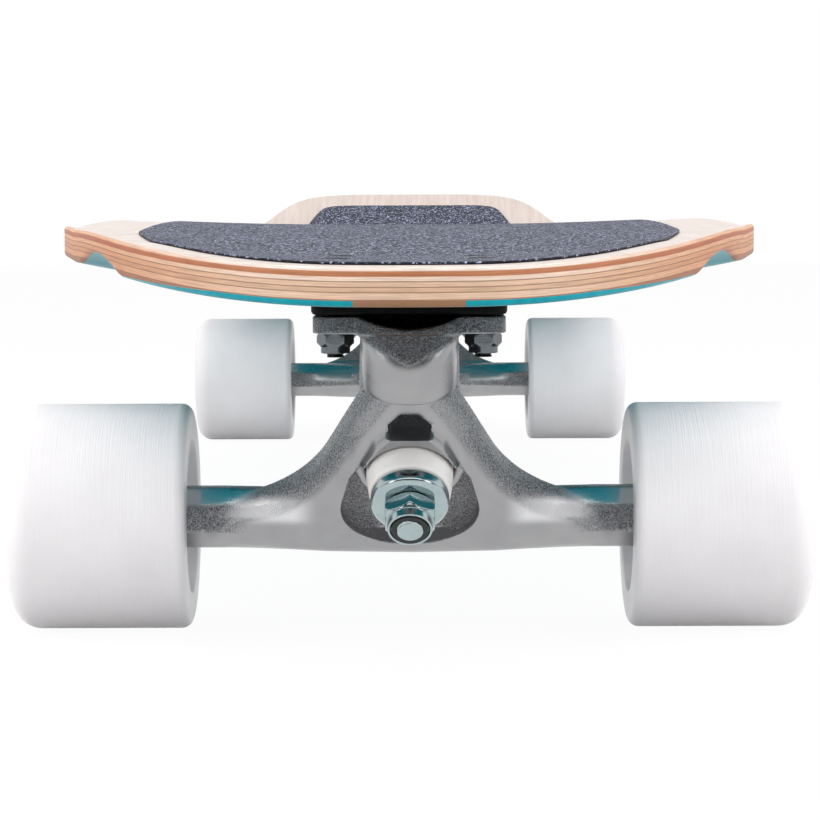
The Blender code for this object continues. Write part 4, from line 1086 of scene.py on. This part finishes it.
def build_pivot_cup(end, finish):
    """The bowl is a quarter circle from the pole to the mouth, and the profile goes on round the outside."""
    angles = np.linspace(0, math.pi / 2, 14)
    bowl = [(cup_bore * math.sin(angle), cup_bore * math.cos(angle)) for angle in angles]
    outside = [(cup_bore + cup_flare, -cup_mouth), (cup_radius, -cup_mouth), (cup_radius, cup_shoulder),
               (cup_top_radius, cup_end), (0, cup_end)]
    points = along_pivot(lathe(np.concatenate([bowl, eased(outside, 0.3 * mm)]), 64), end)
    grid_piece(f"{end}_pivot_cup_liner", points, finish, "root", f"{end}_pivot_cup")


cup_plastic = moulded_finish("cup_plastic", (14, 14, 15), (26, 26, 28), roughness=0.35, grain_scale=1400,
                             grain_height=0.05 * mm)
for end in ends:
    build_pivot_cup(end, cup_plastic)

# Kingpins and their lock nuts: zinc plated steel, the head sunk in the baseplate, the end threaded,
# and a nut with a black locking ring in its collar.
kingpin_radius = 4.75 * mm
kingpin_end = 31.2 * mm
kingpin_head_radius = 8 * mm
kingpin_head_height = 6 * mm
kingpin_nut_across = 13.6 * mm
kingpin_nut_height = 8 * mm
kingpin_pitch = 1.1 * mm
kingpin_thread = 0.5 * mm
washer_face = 22.2 * mm
bore_gap = 0.3 * mm


def zinc_finish(name, tint):
    """Zinc plate: bright and cool, with a faint cloud in the colour and hair scratches in the gloss."""
    finish, tree, shader, place = new_finish(name)
    cloud = fine_noise(tree, place, 220.0, 4.0)
    hair = fine_noise(tree, stretched(tree, place, (200, 2600, 2600)), 1.0, 3.0, 0.42, 0.7)
    dark = srgb(*tint)
    pale = (*[min(1.0, part * 1.12) for part in dark[:3]], 1.0)
    feed(shader, {"Base Color": mixed(tree, cloud, dark, pale), "Metallic": 1.0,
                  "Roughness": ranged(tree, hair, 0.12, 0.26), "Normal": bumped(tree, cloud, 0.15, 0.1 * mm)})
    return finish


def along_kingpin(points, end, way=1):
    """Turned points put on the kingpin's axis, with zero at the hanger's ring and the road side at -1."""
    x, y, z = np.moveaxis(points, -1, 0)
    return at_truck(from_tilt(np.stack([x, way * z, y], axis=-1)), end)


def threaded(profile, start, stop, pitch, depth, segments):
    """A turned grid with a thread between two places along it.

    Straight runs get eight rows to a pitch. The radius is less by the depth times a triangle wave of the
    place along over the pitch less the turn, and smooth steps end the thread at both places.
    """
    profile = np.asarray(profile)
    rows = [profile[0]]
    for before, after in zip(profile[:-1], profile[1:]):
        straight = abs(after[0] - before[0]) < 1e-6
        pieces = max(1, int(abs(after[1] - before[1]) / (pitch / 8))) if straight else 1
        rows += [before + (after - before) * share for share in np.linspace(0, 1, pieces + 1)[1:]]
    rows = np.array(rows)
    radius, along = rows[:, :1], rows[:, 1:]
    phase = (along / pitch - np.arange(segments) / segments) % 1
    groove = np.clip(1 - np.abs(phase * 2 - 1) * 1.6, 0, 1)
    inside = smooth((along - start) / pitch) * smooth((stop - along) / (0.3 * pitch))
    points = lathe(rows, segments)
    points[..., :2] *= (1 - groove * inside * depth / np.maximum(radius, depth))[..., None]
    return points


def hex_nut(across, height, bore, collar_radius, collar_height, segments=96):
    """A lock nut from 0 to its height: hexagon whose corners a cone rounds off, then a domed collar.

    Radius round the hexagon is half its width over the cosine of the angle from the nearest flat,
    and never more than the cone allows. Rows of (cone radius, along), then the collar and the bore.
    """
    chamfer, inset, rim = 1.1 * mm, 0.2 * mm, 0.6 * mm
    turn = np.arange(segments) * 2 * math.pi / segments
    from_flat = (turn + math.pi / 6) % (math.pi / 3) - math.pi / 6
    hexagon = across / 2 / np.cos(from_flat)
    corner = across / 2 / math.cos(math.pi / 6) + 0.1 * mm
    top = height - collar_height
    flat = across / 2 - inset
    cones = [(flat, 0), (corner, chamfer), (corner, top - chamfer), (flat, top - 0.15 * mm)]
    rows = []
    for (r0, z0), (r1, z1) in zip(cones[:-1], cones[1:]):
        for share in np.linspace(0, 1, 5)[:-1]:
            rows.append((np.minimum(hexagon, r0 + (r1 - r0) * share), z0 + (z1 - z0) * share))
    collar = [(flat, top), (collar_radius, top), (collar_radius, height), (bore + 0.5 * mm, height),
              (bore + 0.3 * mm, height - rim), (bore, height - rim), (bore, 0), (across / 2 - 0.3 * mm, 0)]
    rows += [(np.full(segments, radius), along) for radius, along in eased(collar, 0.8 * mm)]
    rows.append(rows[0])
    radius = np.array([row[0] for row in rows])
    along = np.repeat([[row[1]] for row in rows], segments, axis=1)
    return np.stack([radius * np.cos(turn), radius * np.sin(turn), along], axis=-1)


def build_kingpin(end, steel, nylon):
    """The bolt's profile runs from its thread's tip to its head, and the nut has a nylon ring in its face."""
    head = kingpin_head_seat + kingpin_head_height
    tip_radius = kingpin_radius - 1.1 * mm
    profile = [(0, -kingpin_end), (tip_radius, -kingpin_end), (tip_radius, -kingpin_end + 0.8 * mm),
               (kingpin_radius, -kingpin_end + 1.6 * mm), (kingpin_radius, kingpin_head_seat),
               (kingpin_head_radius, kingpin_head_seat), (kingpin_head_radius, head), (0, head)]
    points = threaded(eased(profile, 0.5 * mm), -kingpin_end - mm, -10 * mm, kingpin_pitch, kingpin_thread, 48)
    grid_piece(f"{end}_kingpin_bolt", along_kingpin(points, end), steel, "root", f"{end}_kingpin")

    start = washer_face + solid_gap
    points = hex_nut(kingpin_nut_across, kingpin_nut_height, kingpin_radius + bore_gap, 6.2 * mm, 2.6 * mm)
    grid_piece(f"{end}_kingpin_lock_nut", along_kingpin(points + (0, 0, start), end, -1), steel, "root",
               f"{end}_kingpin_nut")

    inner, outer = tip_radius + 0.1 * mm, tip_radius + 1.5 * mm
    low, high = start + kingpin_nut_height - 0.4 * mm, start + kingpin_nut_height + 0.15 * mm
    profile = eased([(inner, low), (outer, low), (outer, high), (inner, high), (inner, low)], 0.1 * mm)
    points = along_kingpin(lathe(profile, 48), end, -1)
    grid_piece(f"{end}_kingpin_locking_ring", points, nylon, "root")


nylon = moulded_finish("locking_nylon", (12, 16, 18), (24, 30, 32), roughness=0.4, grain_scale=900,
                       grain_height=0.03 * mm)
zinc = zinc_finish("zinc_plate", (166, 180, 182))
for end in ends:
    build_kingpin(end, zinc, nylon)

# Bushings and washers: ivory urethane, narrowing outwards on the road side and straight on the board
# side, held in the ring's seats by cupped zinc washers.
bushing_seat = 4.3 * mm
bushing_height = 12.9 * mm
bushing_radius = 12.1 * mm
bushing_waist = 11.3 * mm
bushing_bore = 5.15 * mm
washer_seat = 17.5 * mm
washer_faces = {"roadside": washer_face, "boardside": 19.6 * mm}
washer_radii = {"roadside": 10.9 * mm, "boardside": 12.4 * mm}
washer_rim = 0.9 * mm


def build_bushing(end, side, way, finish):
    """A closed profile round the bore: straight outside on the board side, narrowing on the road side."""
    start, stop = bushing_seat, bushing_seat + bushing_height
    middle = (start + stop) / 2
    outside = [(bushing_radius, start), (bushing_radius, stop)]
    if side == "roadside":
        outside = [(bushing_radius, start), (bushing_radius, middle), (bushing_waist, stop)]
    bore = [(bushing_bore, middle), (bushing_bore, start)]
    profile = eased(bore + outside + [(bushing_bore, stop), (bushing_bore, middle)], 1.3 * mm, 6)
    points = along_kingpin(lathe(profile, 72), end, way)
    bushing = grid_piece(f"{end}_{side}_bushing_rubber", points, finish, None,
                         f"{end}_{side}_bushing")
    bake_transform(bushing)


def build_washer(end, side, way, finish):
    """A flat disc whose rim turns over the bushing's end."""
    radius, face, flat = washer_radii[side], washer_faces[side], washer_seat + 0.4 * mm
    profile = [(bushing_bore, face - mm), (bushing_bore, flat), (radius - 1.6 * mm, flat),
               (radius - washer_rim, washer_seat), (radius, washer_seat + 0.3 * mm), (radius, face - 1.3 * mm),
               (radius - 1.5 * mm, face), (bushing_bore, face), (bushing_bore, face - mm)]
    points = along_kingpin(lathe(eased(profile, 0.7 * mm), 72), end, way)
    grid_piece(f"{end}_{side}_cup_washer", points, finish, "root", f"{end}_{side}_washer")


bushing_urethane = moulded_finish("bushing_urethane", (222, 218, 216), (234, 230, 228), roughness=0.32,
                                  grain_scale=700, grain_height=0.05 * mm, subsurface=0.3)
for end in ends:
    for side, way in (("roadside", -1), ("boardside", 1)):
        build_bushing(end, side, way, bushing_urethane)
        build_washer(end, side, way, zinc)

# Axles and their nuts: zinc plated steel through the hanger, with the speed washers, inner races and
# spacers that it clamps, and a lock nut on each threaded end.
axle_radius = 4 * mm
wheel_centre = 88.5 * mm
spacer_half = 5 * mm
bearing_width = 7 * mm
inner_race_radius = 5.7 * mm
spacer_radius = 5.2 * mm
axle_nut_across = 13 * mm
axle_nut_height = 7 * mm
axle_tip = 1.5 * mm
clamp_start = hanger_half_width + solid_gap
clamp_stop = wheel_centre + spacer_half + bearing_width + mm
nut_start = clamp_stop + solid_gap
axle_pitch = 1.0 * mm
axle_thread = 0.45 * mm


def along_axle(points, end, side):
    """Turned points put on the axle, measured outwards from the board's middle line."""
    across, up, along = np.moveaxis(points, -1, 0)
    axle_y = front_axle_y if end == "front" else rear_axle_y
    return np.stack([side * along, axle_y + across, wheel_radius + up], axis=-1)


def build_axle(end, steel):
    """Half the axle's profile from the hanger outwards, mirrored for the other side, and its two nuts."""
    inner, outer = wheel_centre - spacer_half, wheel_centre + spacer_half
    tip = nut_start + axle_nut_height + solid_gap + axle_tip
    half = [(axle_radius, clamp_start), (inner_race_radius, clamp_start), (inner_race_radius, inner),
            (spacer_radius, inner), (spacer_radius, outer), (inner_race_radius, outer),
            (inner_race_radius, clamp_stop), (axle_radius, clamp_stop), (axle_radius, tip), (0, tip)]
    profile = eased([(radius, -place) for radius, place in reversed(half)] + half, 0.4 * mm, 2)
    points = along_axle(threaded(profile, nut_start, tip + mm, axle_pitch, axle_thread, 48), end, 1)
    grid_piece(f"{end}_axle_rod", points, steel, f"{end}_truck_hanger", f"{end}_axle")
    nut_points = hex_nut(axle_nut_across, axle_nut_height, axle_radius + bore_gap, 5.9 * mm, 2 * mm)
    for hand, side in sides:
        points = along_axle(nut_points + (0, 0, nut_start), end, side)
        grid_piece(f"{end}_{hand}_axle_lock_nut", points, steel, f"{end}_truck_hanger",
                   f"{end}_{hand}_axle_nut")


for end in ends:
    build_axle(end, zinc)

# Wheels: white urethane tyres with a ground tread and rounded lips, cast on pale plastic cores. Two
# shielded bearings are pressed into each core, against the stop in its middle.
wheel_half = 25.5 * mm
outer_corner = 7.5 * mm
inner_corner = 3 * mm
recess_radius = 22.3 * mm
core_radius = 17 * mm
core_half = 15 * mm
core_stop = 2 * mm
bearing_radius = 11 * mm
shield_inner, shield_outer = 6.8 * mm, 9.4 * mm
shield_set_back = 0.6 * mm
hub_radius = 11.4 * mm
shell_radius = 14 * mm


def urethane_finish():
    """White urethane: satin, a little translucent, with the grinder's fine rings round the tread."""
    finish, tree, shader, place = new_finish("wheel_urethane")
    tread = carried(tree, "tread")
    ground = fine_noise(tree, stretched(tree, place, (2600, 60, 60)), 1.0)
    cloud = fine_noise(tree, place, 45.0, 4.0)
    feed(shader, {"Base Color": mixed(tree, cloud, srgb(233, 230, 232), srgb(240, 237, 239)),
                  "Roughness": ranged(tree, tread, 0.36, 0.62),
                  "Normal": bumped(tree, ground, ranged(tree, tread, 0.05, 0.6), 0.08 * mm),
                  "Subsurface Weight": 0.35, "Subsurface Radius": (6 * mm, 5 * mm, 5 * mm)})
    return finish


def bearing_finish():
    """Bright races with a darker pressed shield between them, told apart by the shield attribute."""
    finish, tree, shader, place = new_finish("bearing_steel")
    wear = fine_noise(tree, place, 900.0)
    colour = mixed(tree, carried(tree, "shield"), srgb(206, 208, 210), srgb(120, 122, 126))
    feed(shader, {"Base Color": colour, "Metallic": 1.0, "Roughness": ranged(tree, wear, 0.14, 0.3)})
    return finish


def build_tyre(end, hand, side, finish):
    """A profile from the inner lip over the tread to the outer lip, the recesses and the bore.

    The tread's two corners are quarter circles, a small one inside and a large one outside. The tread
    attribute steps from 0 on the faces to 1 on the ground tread.
    """
    bore = core_radius + bore_gap
    deep = 0.66 * wheel_half
    turns = np.linspace(0, math.pi / 2, 9)
    rising, falling = 1 - np.sin(turns), 1 - np.cos(turns)
    inner_arc = np.stack([wheel_radius - inner_corner * rising, -wheel_half + inner_corner * falling], axis=-1)
    outer_arc = np.stack([wheel_radius - outer_corner * falling, wheel_half - outer_corner * rising], axis=-1)
    profile = eased([(bore, 0), (bore, -deep), (recess_radius, -wheel_half), *inner_arc, *outer_arc,
                     (recess_radius, wheel_half), (bore, deep), (bore, 0)], 0.7 * mm)
    tread = smooth((profile[:, 0] - wheel_radius + 2 * mm) / (1.5 * mm))
    profile[:, 1] += wheel_centre
    grid_piece(f"{end}_{hand}_tyre_urethane", along_axle(lathe(profile, 160), end, side), finish,
               f"{end}_{hand}_wheel", f"{end}_{hand}_tyre", attributes={"tread": tread})


def build_core(end, hand, side, finish):
    """A hub shell, thinner towards its ends, with a ring inside that keeps the bearings apart."""
    rest = spacer_half - 0.4 * mm
    stop_radius = hub_radius - core_stop
    taper = 0.8 * core_half
    outside = [(hub_radius, 0), (hub_radius, -core_half), (shell_radius, -core_half), (core_radius, -taper),
               (core_radius, taper), (shell_radius, core_half), (hub_radius, core_half)]
    stop = [(hub_radius, rest), (stop_radius, rest), (stop_radius, -rest), (hub_radius, -rest)]
    profile = eased(outside + stop + [(hub_radius, 0)], 0.5 * mm)
    profile[:, 1] += wheel_centre
    grid_piece(f"{end}_{hand}_core_plastic", along_axle(lathe(profile, 96), end, side), finish,
               f"{end}_{hand}_wheel", f"{end}_{hand}_wheel_core")


def build_bearing(end, hand, side, inner_or_outer, centre, finish):
    """Two races with rounded corners and a shield set back between them, on both faces."""
    half, low, edge = bearing_width / 2, inner_race_radius + bore_gap, 0.1 * mm
    face = [(low, 0), (low, half), (shield_inner, half), (shield_inner + edge, half - shield_set_back),
            (shield_outer - edge, half - shield_set_back), (shield_outer, half), (bearing_radius, half)]
    profile = eased(face + [(radius, -along) for radius, along in reversed(face[1:])] + [face[0]], 0.3 * mm, 2)
    radius = profile[:, 0]
    shield = ((radius > shield_inner + edge / 2) & (radius < shield_outer - edge / 2)).astype(float)
    profile[:, 1] += centre
    grid_piece(f"{end}_{hand}_{inner_or_outer}_ball_bearing", along_axle(lathe(profile, 64), end, side), finish,
               f"{end}_{hand}_wheel", f"{end}_{hand}_{inner_or_outer}_bearing",
               attributes={"shield": shield})


urethane = urethane_finish()
core_plastic = moulded_finish("core_plastic", (206, 206, 208), (220, 220, 222), roughness=0.4,
                              grain_scale=800, grain_height=0.05 * mm)
bearing_steel = bearing_finish()
bearing_offset = spacer_half + bearing_width / 2
for end in ends:
    for hand, side in sides:
        build_tyre(end, hand, side, urethane)
        build_core(end, hand, side, core_plastic)
        build_bearing(end, hand, side, "inner", wheel_centre - bearing_offset, bearing_steel)
        build_bearing(end, hand, side, "outer", wheel_centre + bearing_offset, bearing_steel)

# Mounting bolts: four to a truck, countersunk screws with a shallow dish in the head, down
# through the sheet, deck, riser and plate into lock nuts. Screws and nuts take darker copies of the zinc
# finish: painted shade, darkest on the screws.
bolt_radius = 2.4 * mm
bolt_head_radius = 4.75 * mm
bolt_head_height = 2.8 * mm
bolt_pitch = 0.8 * mm
mount_nut_across = 9 * mm
mount_nut_height = 6 * mm
bolt_tail = 1.1 * mm
bolt_thread = 0.35 * mm
head_dish = 0.35 * mm
bolt_head_top = float(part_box("front_outer_left_bolt")[1][2])


def build_bolt(name, x, y, steel, nut_steel_painted_shade):
    """The screw's profile runs from its tail up to the dished head. The nut hangs collar down."""
    nut_top = plate_bottom - solid_gap
    tail = nut_top - mount_nut_height - bolt_tail
    cone_low, dish_low = bolt_head_top - bolt_head_height, bolt_head_top - head_dish
    rim = [(bolt_head_radius, bolt_head_top - 0.4 * mm), (bolt_head_radius - 0.2 * mm, bolt_head_top),
           (bolt_head_radius - 0.6 * mm, bolt_head_top), (bolt_head_radius - mm, dish_low), (0, dish_low)]
    profile = eased([(0, tail), (bolt_radius, tail), (bolt_radius, cone_low)] + rim, 0.15 * mm, 2)
    points = threaded(profile, tail, cone_low - 6 * mm, bolt_pitch, bolt_thread, 32)
    grid_piece(f"{name}_machine_screw", points + (x, y, 0), steel, "root", f"{name}_bolt")
    points = hex_nut(mount_nut_across, mount_nut_height, bolt_radius + bore_gap, 4.1 * mm, 1.9 * mm, 72)
    points = points[..., [1, 0, 2]] * (1, 1, -1) + (0, 0, nut_top)
    grid_piece(f"{name}_lock_nut", points + (x, y, 0), nut_steel_painted_shade, "root", f"{name}_nut")


# Painted shade: darker copies of the zinc plate, for the nuts under the plate and, darkest, for the screws.
zinc_painted_shade = zinc_finish("zinc_plate_painted_shade", (104, 110, 114))
zinc_painted_deep_shade = zinc_finish("zinc_painted_deep_shade", (46, 47, 50))
for end, axle_y, facing in (("front", front_axle_y, 1), ("rear", rear_axle_y, -1)):
    for row, place in (("outer", bolt_outboard), ("inner", bolt_inboard)):
        y = axle_y + facing * place
        for hand, side in sides:
            build_bolt(f"{end}_{row}_{hand}", side * bolt_across, y, zinc_painted_deep_shade, zinc_painted_shade)
